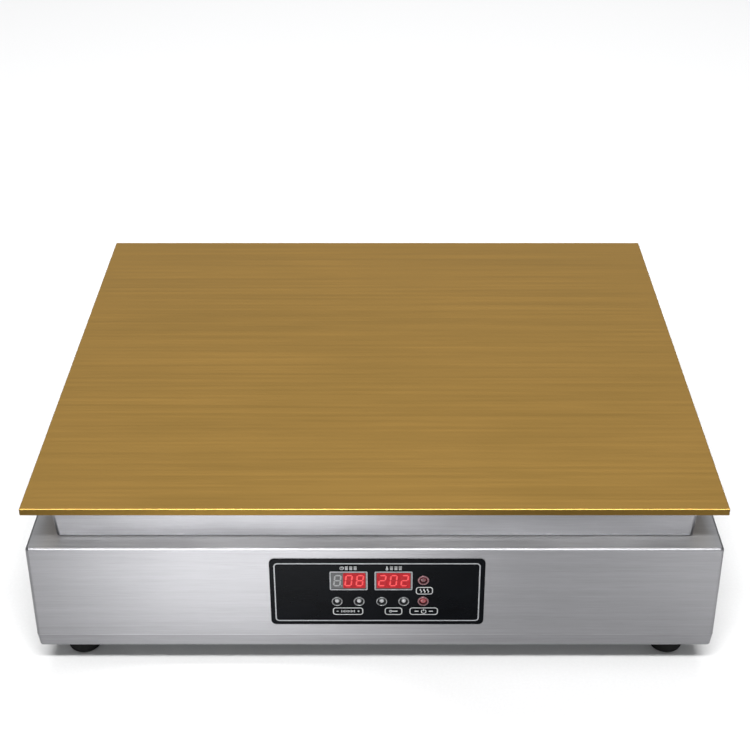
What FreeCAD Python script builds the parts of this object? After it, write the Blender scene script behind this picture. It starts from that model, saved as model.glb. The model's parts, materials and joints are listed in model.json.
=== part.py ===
import FreeCAD, Part
import math
import os

# Electric griddle for the table: a thick brass plate on a stainless heater housing, which stands
# on a wider stainless body with a control panel in its front and four rubber feet.
# Millimetres. +X is the user's right, +Y the back and +Z up. The origin is the middle of the
# footprint, on the surface that the feet stand on. Each piece is written to parts/NAME.step.

# ---------------------------------------------------------------- driving dimensions

BODY_WIDTH = 450.0
BODY_DEPTH = 400.0
FOOT_HEIGHT = 18.0          # clear height under the body
BODY_HEIGHT = 80.0
HOUSING_HEIGHT = 26.0       # from the body's top to the plate
PLATE_THICKNESS = 5.0
SHEET = 1.0                 # stainless sheet of shell and housing

# levels, from the floor up
BODY_BOTTOM = FOOT_HEIGHT
BODY_TOP = BODY_BOTTOM + BODY_HEIGHT
PLATE_BOTTOM = BODY_TOP + HOUSING_HEIGHT
PLATE_TOP = PLATE_BOTTOM + PLATE_THICKNESS
FRONT = -BODY_DEPTH / 2
BACK = BODY_DEPTH / 2
FRONT_INNER = FRONT + SHEET
BACK_INNER = BACK - SHEET

# griddle plate and the studs welded under it
PLATE_EDGE_RADIUS = 0.8
STUD_RADIUS = 3.0
STUD_HOLE_RADIUS = 3.4
STUD_NUT_WIDTH = 10.0       # across flats
STUD_NUT_HEIGHT = 5.0
STUD_SPARE_THREAD = 1.5

# heater housing, flared a little towards the plate
HOUSING_SIDE_INSET = 18.3
HOUSING_FRONT_INSET = 13.7
HOUSING_FLARE = 2.0
HOUSING_FLANGE = 14.0
HOUSING_BEND = 2.0          # where it meets the shell
HOUSING_TOP_BEND = 1.5
HOUSING_WIDTH = BODY_WIDTH - 2 * HOUSING_SIDE_INSET
HOUSING_DEPTH = BODY_DEPTH - 2 * HOUSING_FRONT_INSET

# body shell, with the bottom band folded in
BAND_HEIGHT = 10.0
BAND_INSET = 1.0
SHELL_CORNER = 2.5
SHELL_TOP_BEND = 2.0
SHELL_BOTTOM_BEND = 1.4
SHELL_FLANGE = 11.0
BASE_FIXING_INSET = 8.0      # from the band's foot
BAND_TOP = BODY_BOTTOM + BAND_HEIGHT

# base pan, resting on the shell's bottom flange
PAN_THICKNESS = 1.2
PAN_GAP = 1.0               # between the pan's edge and the shell
PAN_BOTTOM = BODY_BOTTOM + SHEET
PAN_TOP = PAN_BOTTOM + PAN_THICKNESS

# heating elements, clamp bars, insulation and tray
ELEMENT_RADIUS = 4.0
ELEMENT_PITCH = 120.0
ELEMENT_HALF_GAP = 25.0
ELEMENT_LEVEL = PLATE_BOTTOM - ELEMENT_RADIUS
ELEMENT_BEND = 14.0
ELEMENT_RIGHT = 145.0       # where the U-bend starts
ELEMENT_LEFT = -178.0       # where the ends go down
ELEMENT_END = BODY_TOP - 12.0
ELEMENT_PIN_RADIUS = 2.0
ELEMENT_PIN_LENGTH = 12.0
CLAMP_BAR_X = {"left": -110.0, "middle": 0.0, "right": 110.0}
CLAMP_BAR_WIDTH = 20.0
CLAMP_BAR_LENGTH = 350.0
CLAMP_BAR_THICKNESS = 2.0
CLAMP_STUD_Y = (-161.0, -60.0, 60.0, 161.0)
TRAY_THICKNESS = 1.0
TRAY_GAP = 2.0
BLANKET_THICKNESS = 7.0
BLANKET_CORNER = 6.0
BLANKET_X = (-164.0, 190.0)
BLANKET_Y = (-168.0, 168.0)
BLANKET_BOTTOM = BODY_TOP + SHEET + TRAY_THICKNESS
BLANKET_TOP = BLANKET_BOTTOM + BLANKET_THICKNESS
PASSAGE_RADIUS = 6.5        # holes that the element ends pass through
PROBE_X = 55.0
PROBE_Y = -60.0
PROBE_EYE_HEIGHT = 2.0
PROBE_EYE_RADIUS = 6.5
PROBE_NECK_RADIUS = 1.8
PROBE_LEAD_RADIUS = 1.2
CUTOUT_X = -55.0
CUTOUT_Y = 60.0
CUTOUT_STUD_OFFSET = 19.0
CUTOUT_STRAP = 1.2
CUTOUT_RADIUS = 8.0
CUTOUT_HEIGHT = 12.0
CUTOUT_BLADE_OFFSET = 4.5
CUTOUT_BLADE_LENGTH = 3.0
CUTOUT_BLADE_WIDTH = 5.0
CUTOUT_BLADE_THICKNESS = 0.8
THIN_LEAD_Y = 60.0          # holes for the probe's and the cut-out's leads, either side of the middle

# control panel
PANEL_CENTRE_X = 1.6
PANEL_CENTRE_Z = 63.8
PANEL_WIDTH = 140.0
PANEL_HEIGHT = 53.2
PANEL_CORNER = 3.5
PANEL_THICKNESS = 0.8
PANEL_FACE = FRONT - PANEL_THICKNESS
DISPLAY_WIDTH = 22.8
DISPLAY_HEIGHT = 13.2
DISPLAY_CLEARANCE = 0.2
DISPLAY_RECESS = 0.3
DISPLAY_Z = 73.1
DISPLAY_X = {"time": -17.0, "temperature": 12.2}
BUTTON_SHIFT = -0.5         # the pair of buttons from the middle of its display
BUTTON_HALF_PITCH = 7.2
CONTROL_Z = 56.6
LAMP_X = 31.65
HEATING_LAMP_RISE = 0.6      # over the middle of the displays
LAMP_Z = {"heating": DISPLAY_Z + HEATING_LAMP_RISE, "power": CONTROL_Z}
BUTTON_RADIUS = 1.6
BUTTON_PROUD = 0.5
BUTTON_DOME = 1.1
BUTTON_SEAT = 0.7           # how deep the button's back end sits in its switch
BUTTON_TRAVEL_ROOM = 0.9
BUTTON_RUNNING_GAP = 0.05
BEZEL_RADIUS = 3.65
BEZEL_BORE = 2.75
BEZEL_SLEEVE_RADIUS = 3.1
BEZEL_PROUD = 0.45
BEZEL_SLEEVE_END = FRONT_INNER + 0.5
CONTROL_HOLE_RADIUS = 3.2
LAMP_RADIUS = 2.4
LAMP_PROUD = 0.3
LAMP_DOME = 1.6

# control board behind the panel
BOARD_FRONT = FRONT + 6.8
BOARD_THICKNESS = 1.6
BOARD_BACK = BOARD_FRONT + BOARD_THICKNESS
BOARD_WIDTH = 138.0
BOARD_HEIGHT = 48.0
BOARD_STUD_X = 63.0
BOARD_STUD_Z = 19.0
BOARD_STUD_RADIUS = 1.5
BOARD_STUD_LENGTH = 11.0
SPACER_RADIUS = 3.2
TACT_SIZE = 6.0
TACT_HEIGHT = 4.0
CHIP_SIZE = (12.0, 12.0, 2.2)       # width, height, thickness
BUZZER_X = 45.0
BUZZER_RADIUS = 6.0
BUZZER_HEIGHT = 9.0

# power board and what stands on it
POWER_BOARD_X = (-135.0, -5.0)
POWER_BOARD_Y = (-10.0, 90.0)
POWER_BOARD_BOTTOM = PAN_TOP + 10.0
POWER_BOARD_TOP = POWER_BOARD_BOTTOM + BOARD_THICKNESS
PILLAR_INSET = 6.0
PILLAR_RADIUS = 4.0
PILLAR_PEG_RADIUS = 1.8
SOCKET_X = (-48.0, -32.0)           # ribbon sockets, one on each board
SOCKET_HEIGHT = 7.0
SOCKET_DEPTH = 6.0
CONTROL_SOCKET_Z = 46.0
HEATER_LANDING_Y = 6.0              # first heater lead on the power board
HEATER_LANDING_PITCH = 12.0
RELAY_SIZE = (30.0, 28.0, 20.0)
RELAY_PLACE = (-104.0, 22.0)
TRANSFORMER_PLACE = (-36.0, 52.0)
TRANSFORMER_CORE = (42.0, 14.0, 35.0)
TRANSFORMER_BOBBIN = (26.0, 34.0, 28.0)
FUSE_X = (-40.0, -20.0)
FUSE_Y = 10.0
FUSE_RADIUS = 2.6
FUSE_LEVEL = 4.0                    # its axis above the board
FUSE_CLIP = (5.0, 6.5)
FUSE_CLIP_INSET = 3.0
TERMINAL_PLACE = (-170.0, 130.0)
TERMINAL_PITCH = 14.0
TERMINAL_DEPTH = 20.0
TERMINAL_HEIGHT = 18.0
TERMINAL_WIRE_LEVEL = 8.0
EARTH_STUD_PLACE = (-205.0, 60.0)
HEATER_LEAD_RADIUS = 1.5
THIN_LEAD_RADIUS = 0.9
RIBBON_WIDTH = 12.0
RIBBON_THICKNESS = 1.0

# rear wall: cord bushing and mains switch
BUSHING_X = -150.0
REAR_FITTING_Z = 57.0
BUSHING_FLANGE_RADIUS = 11.0
BUSHING_FLANGE = 4.0
BUSHING_BARREL_RADIUS = 7.9
BUSHING_LIP_RADIUS = 4.6            # grips the cord
BUSHING_LIP_LENGTH = 3.2
BUSHING_BORE_RADIUS = 5.4
BUSHING_INSIDE = 14.0
SWITCH_X = -80.0
SWITCH_BEZEL = (32.0, 25.4, 2.0)    # width, height, how far it stands out
SWITCH_BEZEL_ROUND = 0.6
SWITCH_CASE = (29.6, 21.6, 25.0)    # width, height, depth behind the wall
SWITCH_WELL = (26.2, 20.4, 13.0)
SWITCH_BLADE = (0.8, 6.2, 9.0)      # thickness, height, length
SWITCH_BLADE_X = 7.0
SWITCH_BLADE_Z = 5.5
ROCKER_WIDTH = 25.4
ROCKER_RADIUS = 9.7
ROCKER_RISE = 4.5                   # from the pivot to the rim of each end
ROCKER_VALLEY = 2.6                 # from the pivot to the line where the two faces meet
ROCKER_BACK = 4.0                   # from the pivot to the flat back
ROCKER_REST_TILT = 10.0             # degrees from level, either way
ROCKER_PIVOT_Y = BACK - 1.5
ROCKER_PIN_RADIUS = 1.5
ROCKER_PIN_GAP = 0.05
ROCKER_PIN_LENGTH = 1.5

# feet and screws
FOOT_X = 199.0
FOOT_Y = 176.0
FOOT_TOP_RADIUS = 12.8
FOOT_BOTTOM_RADIUS = 10.8
FOOT_EDGE = 3.6
FOOT_BOSS_RADIUS = 10.6      # passes the shell's flange to the pan
FOOT_GAP = 0.5              # under the flange
FOOT_WELL_RADIUS = 5.4
FOOT_WELL_DEPTH = 11.0
VENT_LENGTH = 36.0
VENT_WIDTH = 4.0
VENT_PITCH = 10.0
VENT_COUNT = 12
PAN_VENT_X = 80.0
PAN_VENT_Y = 60.0
REAR_VENT_X = 75.0
M5_RADIUS = 2.5
M4_RADIUS = 2.0
M3_NUT = (5.5, 2.4)         # across flats, height
M4_NUT = (7.0, 3.2)
M5_NUT = (8.0, 4.0)
HOUSING_SCREW_LENGTH = 7.0
BASE_SCREW_LENGTH = 6.5
FOOT_SCREW_LENGTH = 14.5
HOLE_SLACK = 0.25           # screw hole radius over screw radius
THREAD_SLACK = 0.04         # nut bore radius over screw radius
SHORTEST_RUN = 0.01

X_AXIS = FreeCAD.Vector(1, 0, 0)
Y_AXIS = FreeCAD.Vector(0, 1, 0)
Z_AXIS = FreeCAD.Vector(0, 0, 1)
SIDES = (("left", -1), ("right", 1))
ENDS = (("front", -1), ("rear", 1))


# ---------------------------------------------------------------- shape helpers

def point(x, y, z):
    return FreeCAD.Vector(x, y, z)


def box(x_range, y_range, z_range):
    """Box between two values on each axis."""
    size = [high - low for low, high in (x_range, y_range, z_range)]
    return Part.makeBox(*size, point(x_range[0], y_range[0], z_range[0]))


def middle_box(width, depth, x, y, z_range):
    """Box centred on (x, y)."""
    return box((x - width / 2, x + width / 2), (y - depth / 2, y + depth / 2), z_range)


def rod(radius, start, end):
    """Round bar from one point to another."""
    return Part.makeCylinder(radius, (end - start).Length, start, end - start)


def upright(radius, x, y, z_range):
    """Round bar along Z."""
    return rod(radius, point(x, y, z_range[0]), point(x, y, z_range[1]))


def level_rod(radius, x, z, y_range):
    """Round bar along Y."""
    return rod(radius, point(x, y_range[0], z), point(x, y_range[1], z))


def fuse(shapes):
    """One solid from pieces that touch or overlap."""
    return shapes[0].fuse(list(shapes[1:])).removeSplitter()


def group(shapes):
    """Separate solids kept together in one file."""
    return Part.makeCompound(list(shapes))


def rounded_wire(width, depth, radius, level, centre=(0.0, 0.0)):
    """Level rectangle with rounded corners."""
    inner_x = width / 2 - radius
    inner_y = depth / 2 - radius
    quarters = ((inner_x, inner_y), (-inner_x, inner_y), (-inner_x, -inner_y), (inner_x, -inner_y))
    arcs = []
    for turn, (x, y) in enumerate(quarters):
        middle = point(centre[0] + x, centre[1] + y, level)
        arcs.append(Part.makeCircle(radius, middle, Z_AXIS, 90 * turn, 90 * turn + 90))
    edges = []
    for arc, following in zip(arcs, arcs[1:] + arcs[:1]):
        edges.append(arc)
        edges.append(Part.makeLine(arc.Vertexes[-1].Point, following.Vertexes[0].Point))
    return Part.Wire(edges)


def rounded_slab(width, depth, radius, z_range, centre=(0.0, 0.0)):
    """Flat slab with rounded corners."""
    face = Part.Face(rounded_wire(width, depth, radius, z_range[0], centre))
    return face.extrude(point(0, 0, z_range[1] - z_range[0]))


def rounded_loft(sections, radius):
    """Solid through rounded rectangles, each given as width, depth and level."""
    wires = [rounded_wire(width, depth, radius, level) for width, depth, level in sections]
    return Part.makeLoft(wires, True, True)


def round_rim(solid, radius, level):
    """Round off the rim that lies at one level."""
    rim = []
    for edge in solid.Edges:
        heights = [vertex.Point.z for vertex in edge.Vertexes]
        if max(abs(height - level) for height in heights) < 0.01:
            rim.append(edge)
    return solid.makeFillet(radius, rim)


def upright_panel(width, height, radius, y_range, x, z):
    """Slab with rounded corners that faces the front or the back."""
    slab = rounded_slab(width, height, radius, (0, y_range[1] - y_range[0]))
    slab.rotate(point(0, 0, 0), X_AXIS, -90)
    slab.translate(point(x, y_range[0], z))
    return slab


def nut(size, thread_radius, base, direction):
    """Hexagon nut of this width across flats and height, its corners bevelled, standing on base."""
    across_flats, height = size
    corner = across_flats / math.sqrt(3)
    corners = [point(corner * math.cos(turn), corner * math.sin(turn), 0)
               for turn in (math.radians(60 * step) for step in range(7))]
    body = Part.Face(Part.makePolygon(corners)).extrude(point(0, 0, height))
    bevel = Part.makeCone(corner + height / 2 - 0.3, corner - 0.3, height)
    body = body.common(bevel)
    body = body.cut(Part.makeCylinder(thread_radius + THREAD_SLACK, height))
    body.Placement = FreeCAD.Placement(base, FreeCAD.Rotation(Z_AXIS, direction))
    return body


def pan_screw(thread_radius, length, seat, direction):
    """Cross-recess screw. Its head lies behind the seat and its thread runs along direction."""
    head_radius = thread_radius * 1.95
    head_height = thread_radius * 1.2
    head = Part.makeCylinder(head_radius, head_height, point(0, 0, -head_height))
    outer_rim = [edge for edge in head.Edges if edge.BoundBox.ZMax < -head_height / 2]
    head = head.makeFillet(head_height * 0.45, outer_rim)
    slot_depth = (-head_height, -head_height * 0.4)
    slots = [middle_box(head_radius, thread_radius * 0.3, 0, 0, slot_depth),
             middle_box(thread_radius * 0.3, head_radius, 0, 0, slot_depth)]
    screw = fuse([head.cut(slots), Part.makeCylinder(thread_radius, length)])
    screw.Placement = FreeCAD.Placement(seat, FreeCAD.Rotation(Z_AXIS, direction))
    return screw


def bent_path(points, radii):
    """Wire along straight runs, with an arc of the given radius at each corner."""
    edges = []
    last = points[0]
    for before, corner, after, radius in zip(points, points[1:], points[2:], radii):
        inward = (before - corner).normalize()
        outward = (after - corner).normalize()
        half_angle = inward.getAngle(outward) / 2
        reach = radius / math.tan(half_angle)
        start = corner + inward * reach
        end = corner + outward * reach
        middle = corner + (inward + outward).normalize() * (radius / math.sin(half_angle) - radius)
        if (start - last).Length > SHORTEST_RUN:
            edges.append(Part.makeLine(last, start))
        edges.append(Part.Arc(start, middle, end).toShape())
        last = end
    edges.append(Part.makeLine(last, points[-1]))
    return Part.Wire(edges)


def swept_tube(path, radius, points):
    """Round bar along a path that leaves its first point towards its second."""
    section = Part.Wire(Part.makeCircle(radius, points[0], points[1] - points[0]))
    return path.makePipeShell([section], True, True)


def lead(points, radius):
    """Round lead, bent as gently as its runs allow."""
    bends = []
    for before, corner, after in zip(points, points[1:], points[2:]):
        shorter = min((before - corner).Length, (after - corner).Length)
        bends.append(0.45 * shorter * math.tan((before - corner).getAngle(after - corner) / 2))
    return swept_tube(bent_path(points, bends), radius, points)


# ---------------------------------------------------------------- places worked out once

def places_on_rim(x, y, along_x, along_y):
    """Fixing places round a rectangular rim, front and back first, then the two sides."""
    places = [(place, side * y) for side in (-1, 1) for place in along_x]
    places += [(side * x, place) for side in (-1, 1) for place in along_y]
    return places


ELEMENT_Y = {"front": -ELEMENT_PITCH, "middle": 0.0, "rear": ELEMENT_PITCH}
ELEMENT_LEG_Y = [y + side * ELEMENT_HALF_GAP for y in ELEMENT_Y.values() for side in (-1, 1)]
CLAMP_STUDS = [(x, y) for x in CLAMP_BAR_X.values() for y in CLAMP_STUD_Y]
CUTOUT_STUDS = [(CUTOUT_X + side * CUTOUT_STUD_OFFSET, CUTOUT_Y) for side in (-1, 1)]
EDGE_STUDS = places_on_rim(HOUSING_WIDTH / 2 - 6.0, HOUSING_DEPTH / 2 - 6.0,
                           (-140.0, 140.0), (-60.0, 60.0))
HOUSING_FIXINGS = places_on_rim(HOUSING_WIDTH / 2 - 7.5, HOUSING_DEPTH / 2 - 7.5,
                                (-120.0, 0.0, 120.0), (-100.0, 100.0))
BASE_FIXINGS = places_on_rim(BODY_WIDTH / 2 - BAND_INSET - BASE_FIXING_INSET,
                             BODY_DEPTH / 2 - BAND_INSET - BASE_FIXING_INSET,
                             (-150.0, 0.0, 150.0), (-100.0, 100.0))
FEET = [(end + "_" + side, sign_x * FOOT_X, sign_y * FOOT_Y)
        for end, sign_y in ENDS for side, sign_x in SIDES]
BUTTONS = [(display + "_" + way, x + BUTTON_SHIFT + sign * BUTTON_HALF_PITCH)
           for display, x in DISPLAY_X.items() for way, sign in (("down", -1), ("up", 1))]
BOARD_STUDS = [(PANEL_CENTRE_X + sign_x * BOARD_STUD_X, PANEL_CENTRE_Z + sign_z * BOARD_STUD_Z)
               for sign_x in (-1, 1) for sign_z in (-1, 1)]
PASSAGES = [(ELEMENT_LEFT, y) for y in ELEMENT_LEG_Y + [-THIN_LEAD_Y, THIN_LEAD_Y]]
PILLARS = [(x, y)
           for x in (POWER_BOARD_X[0] + PILLAR_INSET, POWER_BOARD_X[1] - PILLAR_INSET)
           for y in (POWER_BOARD_Y[0] + PILLAR_INSET, POWER_BOARD_Y[1] - PILLAR_INSET)]


# ---------------------------------------------------------------- plate and heating pack

def griddle_plate():
    plate = middle_box(BODY_WIDTH, BODY_DEPTH, 0, 0, (PLATE_BOTTOM, PLATE_TOP))
    return plate.makeFillet(PLATE_EDGE_RADIUS, plate.Edges)


def stud_levels():
    """Every stud under the plate, with the underside of what its nut holds."""
    levels = [(x, y, ELEMENT_LEVEL - ELEMENT_RADIUS - CLAMP_BAR_THICKNESS) for x, y in CLAMP_STUDS]
    levels += [(x, y, PLATE_BOTTOM - SHEET) for x, y in EDGE_STUDS]
    levels += [(x, y, PLATE_BOTTOM - CUTOUT_STRAP) for x, y in CUTOUT_STUDS]
    levels.append((PROBE_X, PROBE_Y, PLATE_BOTTOM - PROBE_EYE_HEIGHT))
    return levels


def plate_studs():
    """M6 studs welded to the plate's underside."""
    reach = STUD_NUT_HEIGHT + STUD_SPARE_THREAD
    return group(upright(STUD_RADIUS, x, y, (level - reach, PLATE_BOTTOM))
                 for x, y, level in stud_levels())


def plate_nuts():
    return group(nut((STUD_NUT_WIDTH, STUD_NUT_HEIGHT), STUD_RADIUS, point(x, y, level), -Z_AXIS)
                 for x, y, level in stud_levels())


def heating_element(centre_y):
    """U-shaped tube pressed to the plate, with both ends turned down into the body."""
    near = centre_y - ELEMENT_HALF_GAP
    far = centre_y + ELEMENT_HALF_GAP
    right = ELEMENT_RIGHT + ELEMENT_HALF_GAP
    points = [point(ELEMENT_LEFT, near, ELEMENT_END), point(ELEMENT_LEFT, near, ELEMENT_LEVEL),
              point(right, near, ELEMENT_LEVEL), point(right, far, ELEMENT_LEVEL),
              point(ELEMENT_LEFT, far, ELEMENT_LEVEL), point(ELEMENT_LEFT, far, ELEMENT_END)]
    path = bent_path(points, [ELEMENT_BEND, ELEMENT_HALF_GAP, ELEMENT_HALF_GAP, ELEMENT_BEND])
    pieces = [swept_tube(path, ELEMENT_RADIUS, points)]
    for y in (near, far):
        pin = (ELEMENT_END - ELEMENT_PIN_LENGTH, ELEMENT_END + ELEMENT_RADIUS)
        pieces.append(upright(ELEMENT_PIN_RADIUS, ELEMENT_LEFT, y, pin))
    return fuse(pieces)


def clamp_bar(x):
    """Flat bar across the elements, drawn up by the studs."""
    top = ELEMENT_LEVEL - ELEMENT_RADIUS
    levels = (top - CLAMP_BAR_THICKNESS, top)
    bar = rounded_slab(CLAMP_BAR_WIDTH, CLAMP_BAR_LENGTH, 3.0, levels, (x, 0.0))
    return bar.cut([upright(STUD_HOLE_RADIUS, x, y, levels) for y in CLAMP_STUD_Y])


def overheat_cutout():
    """Snap-disc cut-out on a strap between two studs, with its two blades below."""
    strap_levels = (PLATE_BOTTOM - CUTOUT_STRAP, PLATE_BOTTOM)
    can_bottom = PLATE_BOTTOM - CUTOUT_HEIGHT
    strap = rounded_slab(2 * CUTOUT_STUD_OFFSET + 14.0, 12.0, 3.0, strap_levels, (CUTOUT_X, CUTOUT_Y))
    pieces = [strap, upright(CUTOUT_RADIUS, CUTOUT_X, CUTOUT_Y, (can_bottom, PLATE_BOTTOM))]
    for side in (-1, 1):
        blade_levels = (can_bottom - CUTOUT_BLADE_LENGTH, can_bottom)
        pieces.append(middle_box(CUTOUT_BLADE_THICKNESS, CUTOUT_BLADE_WIDTH,
                                 CUTOUT_X + side * CUTOUT_BLADE_OFFSET, CUTOUT_Y, blade_levels))
    holes = [upright(STUD_HOLE_RADIUS, x, y, strap_levels) for x, y in CUTOUT_STUDS]
    return fuse(pieces).cut(holes)


def temperature_probe():
    """Thermocouple with a ring eye under one plate nut, and its lead down into the body."""
    eye_levels = (PLATE_BOTTOM - PROBE_EYE_HEIGHT, PLATE_BOTTOM)
    eye = upright(PROBE_EYE_RADIUS, PROBE_X, PROBE_Y, eye_levels)
    neck_level = PLATE_BOTTOM - PROBE_NECK_RADIUS - 0.2
    neck_end = PROBE_X - 18.0
    neck = rod(PROBE_NECK_RADIUS, point(PROBE_X - PROBE_EYE_RADIUS + 0.4, PROBE_Y, neck_level),
               point(neck_end, PROBE_Y, neck_level))
    on_blanket = BLANKET_TOP + PROBE_LEAD_RADIUS + 0.4
    board_x = POWER_BOARD_X[0] + 17.0
    board_y = POWER_BOARD_Y[0] + 8.0
    thin_lead = lead([point(neck_end + 2.0, PROBE_Y, neck_level),
                      point(neck_end - 12.0, PROBE_Y + 1.0, neck_level - 1.0),
                      point(neck_end - 22.0, PROBE_Y + 16.0, on_blanket + 1.0),
                      point(-30.0, -42.0, on_blanket),
                      point(-85.0, -44.0, on_blanket),
                      point(-135.0, -50.0, on_blanket),
                      point(ELEMENT_LEFT, -THIN_LEAD_Y, on_blanket),
                      point(ELEMENT_LEFT, -THIN_LEAD_Y, BODY_TOP - 14.0),
                      point(-165.0, -55.0, BODY_TOP - 38.0),
                      point(-145.0, -46.0, BODY_TOP - 48.0),
                      point(board_x, -34.0, POWER_BOARD_TOP + 12.0),
                      point(board_x, board_y, POWER_BOARD_TOP + 11.0),
                      point(board_x, board_y, POWER_BOARD_TOP)], PROBE_LEAD_RADIUS)
    return fuse([eye, neck, thin_lead]).cut(upright(STUD_HOLE_RADIUS, PROBE_X, PROBE_Y, eye_levels))


def passages(levels):
    """Holes for the element ends and for the thin leads beside them."""
    return [upright(PASSAGE_RADIUS, x, y, levels) for x, y in PASSAGES]


def heat_shield_tray():
    """Sheet under the insulation, lying on the housing's bottom flange."""
    bottom = BODY_TOP + SHEET
    wide = HOUSING_WIDTH - 2 * SHEET - TRAY_GAP
    deep = HOUSING_DEPTH - 2 * SHEET - TRAY_GAP
    tray = rounded_slab(wide, deep, 3.0, (bottom, bottom + TRAY_THICKNESS))
    levels = (bottom, bottom + TRAY_THICKNESS)
    holes = [upright(M4_RADIUS + HOLE_SLACK, x, y, levels) for x, y in HOUSING_FIXINGS]
    return tray.cut(holes + passages(levels))


def insulation_blanket():
    """Ceramic fibre blanket on the tray."""
    blanket = box(BLANKET_X, BLANKET_Y, (BLANKET_BOTTOM, BLANKET_TOP))
    corners = [edge for edge in blanket.Edges if edge.BoundBox.ZLength > BLANKET_THICKNESS / 2]
    return blanket.makeFillet(BLANKET_CORNER, corners)


def heater_housing():
    """Folded skirt with a flange turned in at the plate and another at the body."""
    inner_bottom = BODY_TOP + SHEET
    inner_top = PLATE_BOTTOM - SHEET
    wide_top = HOUSING_WIDTH + 2 * HOUSING_FLARE
    deep_top = HOUSING_DEPTH + 2 * HOUSING_FLARE
    outer = rounded_loft([(HOUSING_WIDTH, HOUSING_DEPTH, BODY_TOP), (wide_top, deep_top, PLATE_BOTTOM)],
                         SHELL_CORNER)
    outer = round_rim(outer, HOUSING_BEND, BODY_TOP)
    outer = round_rim(outer, HOUSING_TOP_BEND, PLATE_BOTTOM)
    inner = rounded_loft([(HOUSING_WIDTH - 2 * SHEET, HOUSING_DEPTH - 2 * SHEET, inner_bottom),
                          (wide_top - 2 * SHEET, deep_top - 2 * SHEET, inner_top)],
                         SHELL_CORNER - SHEET)
    bottom_hole = middle_box(HOUSING_WIDTH - 2 * HOUSING_FLANGE, HOUSING_DEPTH - 2 * HOUSING_FLANGE,
                             0, 0, (BODY_TOP, inner_bottom))
    top_hole = middle_box(HOUSING_WIDTH - 2 * HOUSING_FLANGE, HOUSING_DEPTH - 2 * HOUSING_FLANGE,
                          0, 0, (inner_top, PLATE_BOTTOM))
    stud_holes = [upright(STUD_HOLE_RADIUS, x, y, (inner_top, PLATE_BOTTOM)) for x, y in EDGE_STUDS]
    screw_holes = [upright(M4_RADIUS + HOLE_SLACK, x, y, (BODY_TOP, inner_bottom))
                   for x, y in HOUSING_FIXINGS]
    return outer.cut([inner, bottom_hole, top_hole] + stud_holes + screw_holes)


def housing_screws():
    """Screws from inside the body, up through shell, housing flange and tray."""
    return group(pan_screw(M4_RADIUS, HOUSING_SCREW_LENGTH, point(x, y, BODY_TOP - SHEET), Z_AXIS)
                 for x, y in HOUSING_FIXINGS)


def housing_nuts():
    return group(nut(M4_NUT, M4_RADIUS, point(x, y, BLANKET_BOTTOM), Z_AXIS) for x, y in HOUSING_FIXINGS)


# ---------------------------------------------------------------- body

def vent_places(middle):
    return [middle + (step - (VENT_COUNT - 1) / 2) * VENT_PITCH for step in range(VENT_COUNT)]


def pan_vents(levels):
    """Two rows of slots in the base pan."""
    corner = VENT_WIDTH * 0.49
    return [rounded_slab(VENT_WIDTH, VENT_LENGTH, corner, levels, (x, side * PAN_VENT_Y))
            for x in vent_places(PAN_VENT_X) for side in (-1, 1)]


def rear_vents():
    """Row of upright slots in the rear wall."""
    corner = VENT_WIDTH * 0.49
    return [upright_panel(VENT_WIDTH, VENT_LENGTH, corner, (BACK_INNER, BACK), x, REAR_FITTING_Z)
            for x in vent_places(REAR_VENT_X)]


def front_holes():
    """Openings in the front wall behind the control panel."""
    wall = (FRONT, FRONT_INNER)
    holes = [upright_panel(DISPLAY_WIDTH + 1.0, DISPLAY_HEIGHT + 1.0, 0.5, wall, x, DISPLAY_Z)
             for x in DISPLAY_X.values()]
    return holes + [level_rod(CONTROL_HOLE_RADIUS, x, z, wall) for x, z in control_places()]


def control_places():
    """Centres of the four buttons and the two lamps."""
    places = [(x, CONTROL_Z) for name, x in BUTTONS]
    return places + [(LAMP_X, z) for z in LAMP_Z.values()]


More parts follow.
